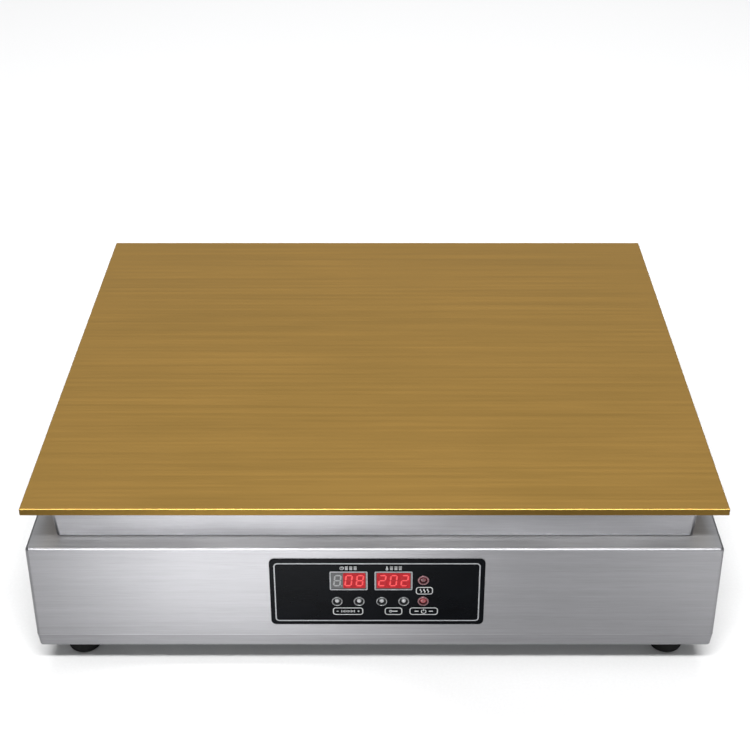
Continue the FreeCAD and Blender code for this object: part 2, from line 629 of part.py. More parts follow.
def body_shell():
    """Folded case: closed top, four walls, folded-in bottom band and a flange turned in below."""
    band_width = BODY_WIDTH - 2 * BAND_INSET
    band_depth = BODY_DEPTH - 2 * BAND_INSET
    outer = rounded_loft([(band_width, band_depth, BODY_BOTTOM), (BODY_WIDTH, BODY_DEPTH, BAND_TOP),
                          (BODY_WIDTH, BODY_DEPTH, BODY_TOP)], SHELL_CORNER)
    outer = round_rim(outer, SHELL_TOP_BEND, BODY_TOP)
    outer = round_rim(outer, SHELL_BOTTOM_BEND, BODY_BOTTOM)
    thick = 2 * SHEET
    inner = rounded_loft([(band_width - thick, band_depth - thick, PAN_BOTTOM),
                          (BODY_WIDTH - thick, BODY_DEPTH - thick, BAND_TOP),
                          (BODY_WIDTH - thick, BODY_DEPTH - thick, BODY_TOP - SHEET)],
                         SHELL_CORNER - SHEET)
    inner = round_rim(inner, SHELL_TOP_BEND - SHEET, BODY_TOP - SHEET)
    top_wall = (BODY_TOP - SHEET, BODY_TOP)
    bottom_wall = (BODY_BOTTOM, PAN_BOTTOM)
    rear_wall = (BACK_INNER, BACK)
    flanges = 2 * SHELL_FLANGE
    cuts = [inner, middle_box(band_width - flanges, band_depth - flanges, 0, 0, bottom_wall)]
    cuts += passages(top_wall)
    cuts += [upright(M4_RADIUS + HOLE_SLACK, x, y, top_wall) for x, y in HOUSING_FIXINGS]
    cuts += [upright(M4_RADIUS + HOLE_SLACK, x, y, bottom_wall) for x, y in BASE_FIXINGS]
    cuts += front_holes()
    cuts += rear_vents()
    cuts.append(level_rod(BUSHING_BARREL_RADIUS + 0.1, BUSHING_X, REAR_FITTING_Z, rear_wall))
    cuts.append(upright_panel(SWITCH_CASE[0] + 0.4, SWITCH_CASE[1] + 0.4, 0.5, rear_wall,
                              SWITCH_X, REAR_FITTING_Z))
    studs = [level_rod(BOARD_STUD_RADIUS, x, z, (FRONT_INNER, FRONT_INNER + BOARD_STUD_LENGTH))
             for x, z in BOARD_STUDS]
    return fuse([outer.cut(cuts)] + studs)


def base_pan():
    """Flat sheet that closes the body from below."""
    levels = (PAN_BOTTOM, PAN_TOP)
    smaller = 2 * (BAND_INSET + SHEET + PAN_GAP)
    pan = rounded_slab(BODY_WIDTH - smaller, BODY_DEPTH - smaller, 3.0, levels)
    cuts = [upright(M4_RADIUS + HOLE_SLACK, x, y, levels) for x, y in BASE_FIXINGS]
    cuts += [upright(M5_RADIUS + HOLE_SLACK, x, y, levels) for name, x, y in FEET]
    cuts += [upright(PILLAR_PEG_RADIUS, x, y, levels) for x, y in PILLARS]
    return pan.cut(cuts + pan_vents(levels))


def base_screws():
    return group(pan_screw(M4_RADIUS, BASE_SCREW_LENGTH, point(x, y, BODY_BOTTOM), Z_AXIS)
                 for x, y in BASE_FIXINGS)


def base_nuts():
    return group(nut(M4_NUT, M4_RADIUS, point(x, y, PAN_TOP), Z_AXIS) for x, y in BASE_FIXINGS)


def foot(x, y):
    """Bowl-shaped rubber foot with a boss up to the pan and a well for its screw's head."""
    bowl = Part.makeCone(FOOT_BOTTOM_RADIUS, FOOT_TOP_RADIUS, BODY_BOTTOM - FOOT_GAP)
    bowl = round_rim(bowl, FOOT_EDGE, 0.0)
    boss = Part.makeCylinder(FOOT_BOSS_RADIUS, PAN_BOTTOM - FOOT_WELL_DEPTH, point(0, 0, FOOT_WELL_DEPTH))
    well = Part.makeCylinder(FOOT_WELL_RADIUS, FOOT_WELL_DEPTH)
    hole = Part.makeCylinder(M5_RADIUS + HOLE_SLACK, PAN_BOTTOM)
    rubber = fuse([bowl, boss]).cut([well, hole])
    rubber.translate(point(x, y, 0))
    return rubber


def foot_screws():
    return group(pan_screw(M5_RADIUS, FOOT_SCREW_LENGTH, point(x, y, FOOT_WELL_DEPTH), Z_AXIS)
                 for name, x, y in FEET)


def foot_nuts():
    return group(nut(M5_NUT, M5_RADIUS, point(x, y, PAN_TOP), Z_AXIS) for name, x, y in FEET)


# ---------------------------------------------------------------- control panel

def control_panel_overlay():
    """Black front panel with a window for each display and a hole for each button and lamp."""
    skin = (PANEL_FACE, FRONT)
    panel = upright_panel(PANEL_WIDTH, PANEL_HEIGHT, PANEL_CORNER, skin, PANEL_CENTRE_X, PANEL_CENTRE_Z)
    front_rim = [edge for edge in panel.Edges if edge.BoundBox.YMax < PANEL_FACE + 0.01]
    panel = panel.makeFillet(0.25, front_rim)
    slack = 2 * DISPLAY_CLEARANCE
    cuts = [upright_panel(DISPLAY_WIDTH + slack, DISPLAY_HEIGHT + slack, 0.5, skin, x, DISPLAY_Z)
            for x in DISPLAY_X.values()]
    cuts += [level_rod(CONTROL_HOLE_RADIUS, x, z, skin) for x, z in control_places()]
    return panel.cut(cuts)


def display_module(x):
    """Three-digit LED module soldered to the control board."""
    depth = (PANEL_FACE + DISPLAY_RECESS, BOARD_FRONT)
    return upright_panel(DISPLAY_WIDTH, DISPLAY_HEIGHT, 0.3, depth, x, DISPLAY_Z)


def domed_rod(radius, x, z, front, back, dome):
    """Round bar along Y whose front end is rounded."""
    bar = level_rod(radius, x, z, (front, back))
    front_rim = [edge for edge in bar.Edges if edge.BoundBox.YMax < front + 0.01]
    return bar.makeFillet(dome, front_rim)


def button(x):
    """Push button whose back end slides in the bore of its switch."""
    back = BOARD_FRONT - TACT_HEIGHT + BUTTON_SEAT
    return domed_rod(BUTTON_RADIUS, x, CONTROL_Z, PANEL_FACE - BUTTON_PROUD, back, BUTTON_DOME)


def tact_switch(x):
    """Square momentary switch on the control board, bored for its button."""
    face = BOARD_FRONT - TACT_HEIGHT
    case = upright_panel(TACT_SIZE, TACT_SIZE, 0.4, (face, BOARD_FRONT), x, CONTROL_Z)
    bore_end = face + BUTTON_SEAT + BUTTON_TRAVEL_ROOM
    return case.cut(level_rod(BUTTON_RADIUS + BUTTON_RUNNING_GAP, x, CONTROL_Z, (face, bore_end)))


def bezel(x, z):
    """Round grommet that lines the hole of a button or lamp."""
    flange = level_rod(BEZEL_RADIUS, x, z, (PANEL_FACE - BEZEL_PROUD, PANEL_FACE))
    front_rim = [edge for edge in flange.Edges if edge.BoundBox.YMax < PANEL_FACE - BEZEL_PROUD + 0.01]
    flange = flange.makeFillet(0.3, front_rim)
    sleeve = level_rod(BEZEL_SLEEVE_RADIUS, x, z, (PANEL_FACE, BEZEL_SLEEVE_END))
    bore = level_rod(BEZEL_BORE, x, z, (PANEL_FACE - BEZEL_PROUD, BEZEL_SLEEVE_END))
    return fuse([flange, sleeve]).cut(bore)


def indicator_lamp(z):
    """Red LED with a domed front."""
    return domed_rod(LAMP_RADIUS, LAMP_X, z, PANEL_FACE - LAMP_PROUD, BOARD_FRONT, LAMP_DOME)


def control_board():
    """Circuit board behind the panel, with its chip, buzzer and ribbon socket."""
    board = upright_panel(BOARD_WIDTH, BOARD_HEIGHT, 1.0, (BOARD_FRONT, BOARD_BACK),
                          PANEL_CENTRE_X, PANEL_CENTRE_Z)
    levels = (BOARD_FRONT, BOARD_BACK)
    board = board.cut([level_rod(BOARD_STUD_RADIUS + HOLE_SLACK, x, z, levels) for x, z in BOARD_STUDS])
    chip_width, chip_height, chip_thickness = CHIP_SIZE
    chip = upright_panel(chip_width, chip_height, 0.3, (BOARD_BACK, BOARD_BACK + chip_thickness),
                         0.0, PANEL_CENTRE_Z + 4.0)
    buzzer = level_rod(BUZZER_RADIUS, BUZZER_X, PANEL_CENTRE_Z + 4.0,
                       (BOARD_BACK, BOARD_BACK + BUZZER_HEIGHT))
    socket = box(SOCKET_X, (BOARD_BACK, BOARD_BACK + SOCKET_HEIGHT),
                 (CONTROL_SOCKET_Z, CONTROL_SOCKET_Z + SOCKET_DEPTH))
    return fuse([board, chip, buzzer, socket])


def board_spacers():
    spacers = []
    for x, z in BOARD_STUDS:
        sleeve = level_rod(SPACER_RADIUS, x, z, (FRONT_INNER, BOARD_FRONT))
        bore = level_rod(BOARD_STUD_RADIUS + HOLE_SLACK, x, z, (FRONT_INNER, BOARD_FRONT))
        spacers.append(sleeve.cut(bore))
    return group(spacers)


def board_nuts():
    return group(nut(M3_NUT, BOARD_STUD_RADIUS, point(x, BOARD_BACK, z), Y_AXIS) for x, z in BOARD_STUDS)


# ---------------------------------------------------------------- power electronics

def power_board():
    """Circuit board with its fuse in two clips, and its ribbon socket."""
    levels = (POWER_BOARD_BOTTOM, POWER_BOARD_TOP)
    board = box(POWER_BOARD_X, POWER_BOARD_Y, levels)
    board = board.cut([upright(PILLAR_PEG_RADIUS, x, y, levels) for x, y in PILLARS])
    fuse_level = POWER_BOARD_TOP + FUSE_LEVEL
    left, right = FUSE_X
    glass = rod(FUSE_RADIUS, point(left, FUSE_Y, fuse_level), point(right, FUSE_Y, fuse_level))
    clips = [middle_box(*FUSE_CLIP, x, FUSE_Y, (POWER_BOARD_TOP, fuse_level + 1.0))
             for x in (left + FUSE_CLIP_INSET, right - FUSE_CLIP_INSET)]
    socket = box(SOCKET_X, (POWER_BOARD_Y[0] + 2.0, POWER_BOARD_Y[0] + 2.0 + SOCKET_DEPTH),
                 (POWER_BOARD_TOP, POWER_BOARD_TOP + SOCKET_HEIGHT))
    return fuse([board, glass, socket] + clips)


def board_pillars():
    """Nylon pillars that snap into the base pan and into the power board."""
    pillars = []
    for x, y in PILLARS:
        post = upright(PILLAR_RADIUS, x, y, (PAN_TOP, POWER_BOARD_BOTTOM))
        peg = upright(PILLAR_PEG_RADIUS - THREAD_SLACK, x, y, (PAN_BOTTOM - 0.8, POWER_BOARD_TOP + 2.0))
        pillars.append(fuse([post, peg]))
    return group(pillars)


def relay():
    """Sealed power relay that switches the elements."""
    width, depth, height = RELAY_SIZE
    case = middle_box(width, depth, *RELAY_PLACE, (POWER_BOARD_TOP, POWER_BOARD_TOP + height))
    upper_edges = [edge for edge in case.Edges if edge.BoundBox.ZMax > POWER_BOARD_TOP + 1.0]
    return case.makeFillet(0.8, upper_edges)


def transformer():
    """Small mains transformer: laminated core round a bobbin."""
    core_width, core_depth, core_height = TRANSFORMER_CORE
    core = middle_box(core_width, core_depth, *TRANSFORMER_PLACE,
                      (POWER_BOARD_TOP, POWER_BOARD_TOP + core_height))
    bobbin_width, bobbin_depth, bobbin_height = TRANSFORMER_BOBBIN
    bobbin = middle_box(bobbin_width, bobbin_depth, *TRANSFORMER_PLACE,
                        (POWER_BOARD_TOP, POWER_BOARD_TOP + bobbin_height))
    corners = [edge for edge in bobbin.Edges if edge.BoundBox.ZLength > 20.0]
    return fuse([core, bobbin.makeFillet(3.0, corners)])


def terminal_block():
    """Three-way mains terminal block on the base pan."""
    x, y = TERMINAL_PLACE
    top = PAN_TOP + TERMINAL_HEIGHT
    wire_level = PAN_TOP + TERMINAL_WIRE_LEVEL
    front = y - TERMINAL_DEPTH / 2
    block = middle_box(3 * TERMINAL_PITCH, TERMINAL_DEPTH, x, y, (PAN_TOP, top))
    cuts = []
    for step in (-1, 0, 1):
        pole = x + step * TERMINAL_PITCH
        cuts.append(upright(3.0, pole, y, (top - 6.0, top)))
        cuts.append(rod(2.0, point(pole, front, wire_level), point(pole, front + 7.0, wire_level)))
    for step in (-0.5, 0.5):
        cuts.append(middle_box(1.2, TERMINAL_DEPTH, x + step * TERMINAL_PITCH, y, (top - 5.0, top)))
    return block.cut(cuts)


def earth_stud():
    """Stud welded to the base pan, with its two nuts as one tightened piece."""
    x, y = EARTH_STUD_PLACE
    stud = upright(M5_RADIUS, x, y, (PAN_TOP, PAN_TOP + 16.0))
    nuts = [nut(M5_NUT, M5_RADIUS - THREAD_SLACK, point(x, y, base), Z_AXIS)
            for base in (PAN_TOP, PAN_TOP + 6.0)]
    return fuse([stud] + nuts)


# ---------------------------------------------------------------- rear fittings

def cord_bushing():
    """Nylon bushing that lines the rear hole for the mains cord, with a narrower lip at its mouth."""
    flange = level_rod(BUSHING_FLANGE_RADIUS, BUSHING_X, REAR_FITTING_Z, (BACK, BACK + BUSHING_FLANGE))
    outer_rim = [edge for edge in flange.Edges if edge.BoundBox.YMin > BACK + BUSHING_FLANGE - 0.01]
    flange = flange.makeFillet(1.5, outer_rim)
    barrel = level_rod(BUSHING_BARREL_RADIUS, BUSHING_X, REAR_FITTING_Z, (BACK - BUSHING_INSIDE, BACK))
    mouth = BACK + BUSHING_FLANGE
    lip_start = mouth - BUSHING_LIP_LENGTH
    bore = level_rod(BUSHING_BORE_RADIUS, BUSHING_X, REAR_FITTING_Z, (BACK - BUSHING_INSIDE, lip_start))
    lip = level_rod(BUSHING_LIP_RADIUS, BUSHING_X, REAR_FITTING_Z, (lip_start, mouth))
    return fuse([flange, barrel]).cut([bore, lip])


def rocker_pins(radius, length):
    """The two pivot pins at the rocker's ends."""
    end = ROCKER_WIDTH / 2
    return [rod(radius, point(SWITCH_X + side * end, ROCKER_PIVOT_Y, REAR_FITTING_Z),
                point(SWITCH_X + side * (end + length), ROCKER_PIVOT_Y, REAR_FITTING_Z))
            for side in (-1, 1)]


def power_switch_housing():
    """Snap-in switch case with a well for the rocker and four blades behind."""
    width, height, proud = SWITCH_BEZEL
    case_width, case_height, depth = SWITCH_CASE
    well_width, well_height, well_depth = SWITCH_WELL
    bezel_plate = upright_panel(width, height, 2.0, (BACK, BACK + proud), SWITCH_X, REAR_FITTING_Z)
    rim = [edge for edge in bezel_plate.Edges if edge.BoundBox.YMin > BACK + proud - 0.01]
    bezel_plate = bezel_plate.makeFillet(SWITCH_BEZEL_ROUND, rim)
    case = upright_panel(case_width, case_height, 0.5, (BACK - depth, BACK), SWITCH_X, REAR_FITTING_Z)
    well = upright_panel(well_width, well_height, 0.5, (BACK + proud - well_depth, BACK + proud),
                         SWITCH_X, REAR_FITTING_Z)
    blade_thickness, blade_height, blade_length = SWITCH_BLADE
    blades = [middle_box(blade_thickness, blade_length, SWITCH_X + side_x * SWITCH_BLADE_X,
                         BACK - depth - blade_length / 2,
                         (REAR_FITTING_Z + side_z * SWITCH_BLADE_Z - blade_height / 2,
                          REAR_FITTING_Z + side_z * SWITCH_BLADE_Z + blade_height / 2))
              for side_x in (-1, 1) for side_z in (-1, 1)]
    return fuse([bezel_plate, case] + blades).cut(
        [well] + rocker_pins(ROCKER_PIN_RADIUS + ROCKER_PIN_GAP, ROCKER_PIN_LENGTH))


def power_switch_rocker():
    """Rocker cut from a round bar about its pivot, with two faces that meet in a shallow valley."""
    left = SWITCH_X - ROCKER_WIDTH / 2
    bar = Part.makeCylinder(ROCKER_RADIUS, ROCKER_WIDTH, point(left, 0, 0), X_AXIS)
    rim_z = math.sqrt(ROCKER_RADIUS ** 2 - ROCKER_RISE ** 2)
    slope = (ROCKER_RISE - ROCKER_VALLEY) / rim_z
    beyond = ROCKER_RADIUS + 1.0
    high = ROCKER_VALLEY + slope * beyond
    outline = [(-ROCKER_BACK, -beyond), (high, -beyond), (ROCKER_VALLEY, 0.0), (high, beyond),
               (-ROCKER_BACK, beyond), (-ROCKER_BACK, -beyond)]
    profile = Part.Face(Part.makePolygon([point(left, y, z) for y, z in outline]))
    rocker = bar.common(profile.extrude(point(ROCKER_WIDTH, 0, 0)))
    rocker.rotate(point(0, 0, 0), X_AXIS, -ROCKER_REST_TILT)
    rocker.translate(point(0, ROCKER_PIVOT_Y, REAR_FITTING_Z))
    return fuse([rocker] + rocker_pins(ROCKER_PIN_RADIUS, ROCKER_PIN_LENGTH - 0.3))


# ---------------------------------------------------------------- leads inside the body

def landing(step):
    """Place of a lead on the power board's left edge, counted from the front."""
    return POWER_BOARD_X[0] + 5.0, HEATER_LANDING_Y + HEATER_LANDING_PITCH * step


def heater_leads():
    """One lead from each element end to the power board, and two from the overheat cut-out."""
    leads = []
    pin_end = ELEMENT_END - ELEMENT_PIN_LENGTH
    level = pin_end - 30.0
    for step, y in enumerate(ELEMENT_LEG_Y):
        x_end, y_end = landing(step)
        sleeve = upright(3.2, ELEMENT_LEFT, y, (pin_end - 3.0, ELEMENT_END - 1.0))
        pin_bore = upright(ELEMENT_PIN_RADIUS, ELEMENT_LEFT, y, (pin_end, ELEMENT_END - 1.0))
        wire = lead([point(ELEMENT_LEFT, y, pin_end - 2.0), point(ELEMENT_LEFT, y, level),
                     point(x_end, y_end, level), point(x_end, y_end, POWER_BOARD_TOP)],
                    HEATER_LEAD_RADIUS)
        leads.append(fuse([sleeve, wire]).cut(pin_bore))
    return group(leads + [cutout_lead(side, level) for side in (-1, 1)])


def cutout_lead(side, level):
    """Thin lead from one blade of the overheat cut-out, over the blanket and down into the body."""
    x_end, y_end = landing(5.8 + 0.2 * side)
    aside = 2.0 * side
    blade_x = CUTOUT_X + side * CUTOUT_BLADE_OFFSET
    blade_level = PLATE_BOTTOM - CUTOUT_HEIGHT - CUTOUT_BLADE_LENGTH / 2
    on_blanket = BLANKET_TOP + THIN_LEAD_RADIUS + 0.2
    return lead([point(blade_x, CUTOUT_Y + CUTOUT_BLADE_WIDTH / 2, blade_level),
                 point(blade_x, CUTOUT_Y + 9.0, blade_level),
                 point(blade_x - 10.0, CUTOUT_Y + 14.0 + aside, on_blanket),
                 point(-130.0, CUTOUT_Y + 14.0 + aside, on_blanket),
                 point(ELEMENT_LEFT, THIN_LEAD_Y + aside, on_blanket),
                 point(ELEMENT_LEFT, THIN_LEAD_Y + aside, BODY_TOP - 14.0),
                 point(ELEMENT_LEFT + 6.0, THIN_LEAD_Y + aside, level + 12.0),
                 point(x_end, y_end, level + 8.0),
                 point(x_end, y_end, POWER_BOARD_TOP)], THIN_LEAD_RADIUS)


def mains_leads():
    """Live and neutral from terminal block to switch, and from switch to power board."""
    leads = []
    blade_end = BACK - SWITCH_CASE[2] - SWITCH_BLADE[2]
    upper = REAR_FITTING_Z + SWITCH_BLADE_Z
    lower = REAR_FITTING_Z - SWITCH_BLADE_Z
    level = PAN_TOP + TERMINAL_WIRE_LEVEL
    front = TERMINAL_PLACE[1] - TERMINAL_DEPTH / 2
    board_y = POWER_BOARD_Y[1] - 8.0
    for pole, side in enumerate((-1, 1)):
        blade_x = SWITCH_X + side * SWITCH_BLADE_X
        terminal_x = TERMINAL_PLACE[0] + pole * TERMINAL_PITCH
        aside = 6.0 * side
        leads.append(lead([point(terminal_x, front, level),
                           point(terminal_x, front - 18.0 + aside, level),
                           point(blade_x - 14.0, front - 14.0 + aside, level + 10.0),
                           point(blade_x, front + 18.0, upper),
                           point(blade_x, blade_end, upper)], HEATER_LEAD_RADIUS))
        leads.append(lead([point(blade_x, blade_end, lower),
                           point(blade_x, blade_end - 26.0, lower),
                           point(blade_x + side, board_y, lower - 1.0),
                           point(blade_x + side, board_y, POWER_BOARD_TOP)], HEATER_LEAD_RADIUS))
    return group(leads)


def panel_ribbon():
    """Flat ribbon cable that dips from the control board's socket to the power board's."""
    x = (SOCKET_X[0] + SOCKET_X[1]) / 2
    upper = CONTROL_SOCKET_Z + SOCKET_DEPTH / 2
    dip = PAN_TOP + 8.0
    start = BOARD_BACK + SOCKET_HEIGHT
    end_y = POWER_BOARD_Y[0] + 2.0 + SOCKET_DEPTH / 2
    bend = 7.0
    points = [point(x, start, upper), point(x, start + 26.0, upper), point(x, start + 50.0, dip),
              point(x, end_y - 40.0, dip), point(x, end_y - 20.0, upper), point(x, end_y, upper),
              point(x, end_y, POWER_BOARD_TOP + SOCKET_HEIGHT)]
    half_width = RIBBON_WIDTH / 2
    half_thickness = RIBBON_THICKNESS / 2
    section = upright_outline(x, start, upper, half_width, half_thickness)
    return bent_path(points, [bend] * (len(points) - 2)).makePipeShell([section], True, True)


def upright_outline(x, y, z, half_width, half_height):
    """Rectangle that faces the front."""
    corners = ((-1, -1), (1, -1), (1, 1), (-1, 1), (-1, -1))
    return Part.makePolygon([point(x + side * half_width, y, z + rise * half_height)
                             for side, rise in corners])


# ---------------------------------------------------------------- all pieces

def all_pieces():
    """Every piece of the griddle, by the name of its file."""
    pieces = {
        "griddle_plate": griddle_plate(),
        "plate_studs": plate_studs(),
        "plate_nuts": plate_nuts(),
        "heater_housing": heater_housing(),
        "heat_shield_tray": heat_shield_tray(),
        "insulation_blanket": insulation_blanket(),
        "overheat_cutout": overheat_cutout(),
        "temperature_probe": temperature_probe(),
        "housing_screws": housing_screws(),
        "housing_nuts": housing_nuts(),
        "body_shell": body_shell(),
        "base_pan": base_pan(),
        "base_screws": base_screws(),
        "base_nuts": base_nuts(),
        "foot_screws": foot_screws(),
        "foot_nuts": foot_nuts(),
        "control_panel_overlay": control_panel_overlay(),
        "control_board": control_board(),
        "board_spacers": board_spacers(),
        "board_nuts": board_nuts(),
        "power_board": power_board(),
        "board_pillars": board_pillars(),
        "relay": relay(),
        "transformer": transformer(),
        "terminal_block": terminal_block(),
        "earth_stud": earth_stud(),
        "cord_bushing": cord_bushing(),
        "power_switch_housing": power_switch_housing(),
        "power_switch_rocker": power_switch_rocker(),
        "heater_leads": heater_leads(),
        "mains_leads": mains_leads(),
        "panel_ribbon": panel_ribbon(),
    }
    for name, y in ELEMENT_Y.items():
        pieces["heating_element_" + name] = heating_element(y)
    for name, x in CLAMP_BAR_X.items():
        pieces["clamp_bar_" + name] = clamp_bar(x)
    for name, x, y in FEET:
        pieces["foot_" + name] = foot(x, y)
    for name, x in DISPLAY_X.items():
        pieces["display_" + name] = display_module(x)
    for name, x in BUTTONS:
        pieces["button_" + name] = button(x)
        pieces["button_bezel_" + name] = bezel(x, CONTROL_Z)
        pieces["tact_switch_" + name] = tact_switch(x)
    for name, z in LAMP_Z.items():
        pieces["indicator_lamp_" + name] = indicator_lamp(z)
        pieces["lamp_bezel_" + name] = bezel(LAMP_X, z)
    return pieces


os.makedirs("parts", exist_ok=True)
for piece_name, shape in all_pieces().items():
    shape.exportStep("parts/" + piece_name + ".step")
    print(piece_name, len(shape.Solids), round(shape.Volume, 1), shape.isValid())
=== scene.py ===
"""Looks of a table-top electric griddle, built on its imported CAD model.

Lengths are in metres in the CAD model's axes: +X to the user's right, +Y from the control panel to the
back, +Z up. Lengths inside the materials' patterns are in millimetres.
"""
import json
import math

import bmesh
import bpy
from mathutils import Matrix, Vector


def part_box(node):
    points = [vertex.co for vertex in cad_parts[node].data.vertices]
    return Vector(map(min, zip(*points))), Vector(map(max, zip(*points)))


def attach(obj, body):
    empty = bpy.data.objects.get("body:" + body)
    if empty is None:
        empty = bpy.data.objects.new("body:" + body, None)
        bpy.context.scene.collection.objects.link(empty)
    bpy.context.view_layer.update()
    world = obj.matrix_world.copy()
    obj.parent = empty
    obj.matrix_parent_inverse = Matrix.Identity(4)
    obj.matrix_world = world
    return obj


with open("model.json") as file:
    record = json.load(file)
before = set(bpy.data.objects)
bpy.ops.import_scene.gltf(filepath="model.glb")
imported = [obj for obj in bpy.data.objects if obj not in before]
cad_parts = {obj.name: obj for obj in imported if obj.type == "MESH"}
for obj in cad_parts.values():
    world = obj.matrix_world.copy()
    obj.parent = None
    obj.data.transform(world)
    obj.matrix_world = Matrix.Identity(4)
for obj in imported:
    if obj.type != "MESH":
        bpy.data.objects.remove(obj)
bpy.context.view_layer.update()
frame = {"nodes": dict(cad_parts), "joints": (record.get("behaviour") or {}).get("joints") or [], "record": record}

MM = 0.001
QUARTER_TURN = 0.25

# ---------------------------------------------------------------- sizes of what is added to the CAD model

INK_HEIGHT = 0.04 * MM          # printed lines stand this far off the panel film
INK_EDGE = 0.06 * MM            # sloping edge of a printed line
BORDER = (134.0 * MM, 47.3 * MM, 2.2 * MM, 0.8 * MM)     # width, height, corner radius, line
BORDER_SHIFT = (-0.1 * MM, -0.12 * MM)                   # from the panel's centre
WINDOW_FRAME = (0.7 * MM, 0.5 * MM)                      # line, corner radius
LABEL_LINE = 0.55 * MM
LABEL_CORNER = 1.7 * MM
LABEL_HEIGHT = 6.0 * MM
LABEL_DROP = 8.4 * MM           # from a button's centre down to its label's
HEATING_LABEL_DROP = 8.6 * MM
LABEL_WIDTH = {"time": 19.9 * MM, "temperature": 11.5 * MM, "power": 18.6 * MM, "heating": 11.1 * MM}
TIME_LABEL_X = -17.65 * MM
TEMPERATURE_LABEL_X = 12.25 * MM
POWER_LABEL_ASIDE = 0.45 * MM   # to the right of its lamp
HEATING_LABEL_ASIDE = 0.7 * MM
CAPTION_RISE = 10.2 * MM        # from a display's centre up to its caption's
SYMBOL_ASIDE = 4.3 * MM         # from there to the left
FIRST_STACK_ASIDE = 1.35 * MM
STACK_PITCH = 2.85 * MM
DASH_REACH = 0.95 * MM          # half a dash
DASH_PITCH = 1.05 * MM
DASH_LINE = 0.5 * MM
DIGIT_HEIGHT = 9.2 * MM         # 0.36 inch
DIGIT_WIDTH = 5.0 * MM
DIGIT_PITCH = 7.3 * MM
DIGIT_SLANT = math.tan(math.radians(6))
SEGMENT_WIDTH = 1.05 * MM
SEGMENT_GAP = 0.25 * MM
SEGMENT_RISE = 0.06 * MM
SEGMENT_BEVEL = 0.03 * MM
POINT_RADIUS = 0.45 * MM        # decimal point at a digit's lower right
POINT_OUT = 0.35 * MM           # from the digit's side to the point's centre
POINT_UP = 0.4 * MM             # from the digit's foot
GLOW_MARGIN = 0.9 * MM          # the glowing area is this much lower than the display
GLOW_CORNER = 0.8 * MM
GLOW_RISE = 0.02 * MM
GLOW_BEVEL = 0.01 * MM
BUTTONS = ("time_down", "time_up", "temperature_down", "temperature_up")
RIM_INSET = 0.45 * MM           # the rim's wire inside the collar's outer edge
RIM_THICKNESS = 0.5 * MM

# body shell, whose band is folded in along the bottom
BAND_HEIGHT = 10.0 * MM
SHELL_CORNER = 2.5 * MM
SHELL_FRONT = -200.0 * MM
SHELL_BACK = 200.0 * MM
BEAD_RISE = 0.14 * MM           # how far the bead stands out from the wall
BEAD_ROOT = 0.15 * MM           # how far its edges are sunk in the wall
BEAD_HEIGHT = 1.2 * MM

# rear rocker, measured from its pivot
ROCKER_RADIUS = 9.7 * MM        # to the rim of each end
ROCKER_RISE = 4.5 * MM          # out to the rim's level
ROCKER_VALLEY = 2.6 * MM        # out to the line where the two faces meet
ROCKER_REST_TILT = -10.0        # degrees
ROCKER_MARK = 5.0 * MM
ROCKER_MARK_PLACE = 4.7 * MM    # up and down to the marks
ROCKER_BAR_LINE = 0.7 * MM
ROCKER_RING_LINE = 0.6 * MM

# which of the seven segments each digit lights: top, upper right, lower right, bottom, lower left,
# upper left, middle
SEGMENTS_LIT = {"0": "1111110", "2": "1101101", "8": "1111111", " ": "0000000"}


# ---------------------------------------------------------------- material building

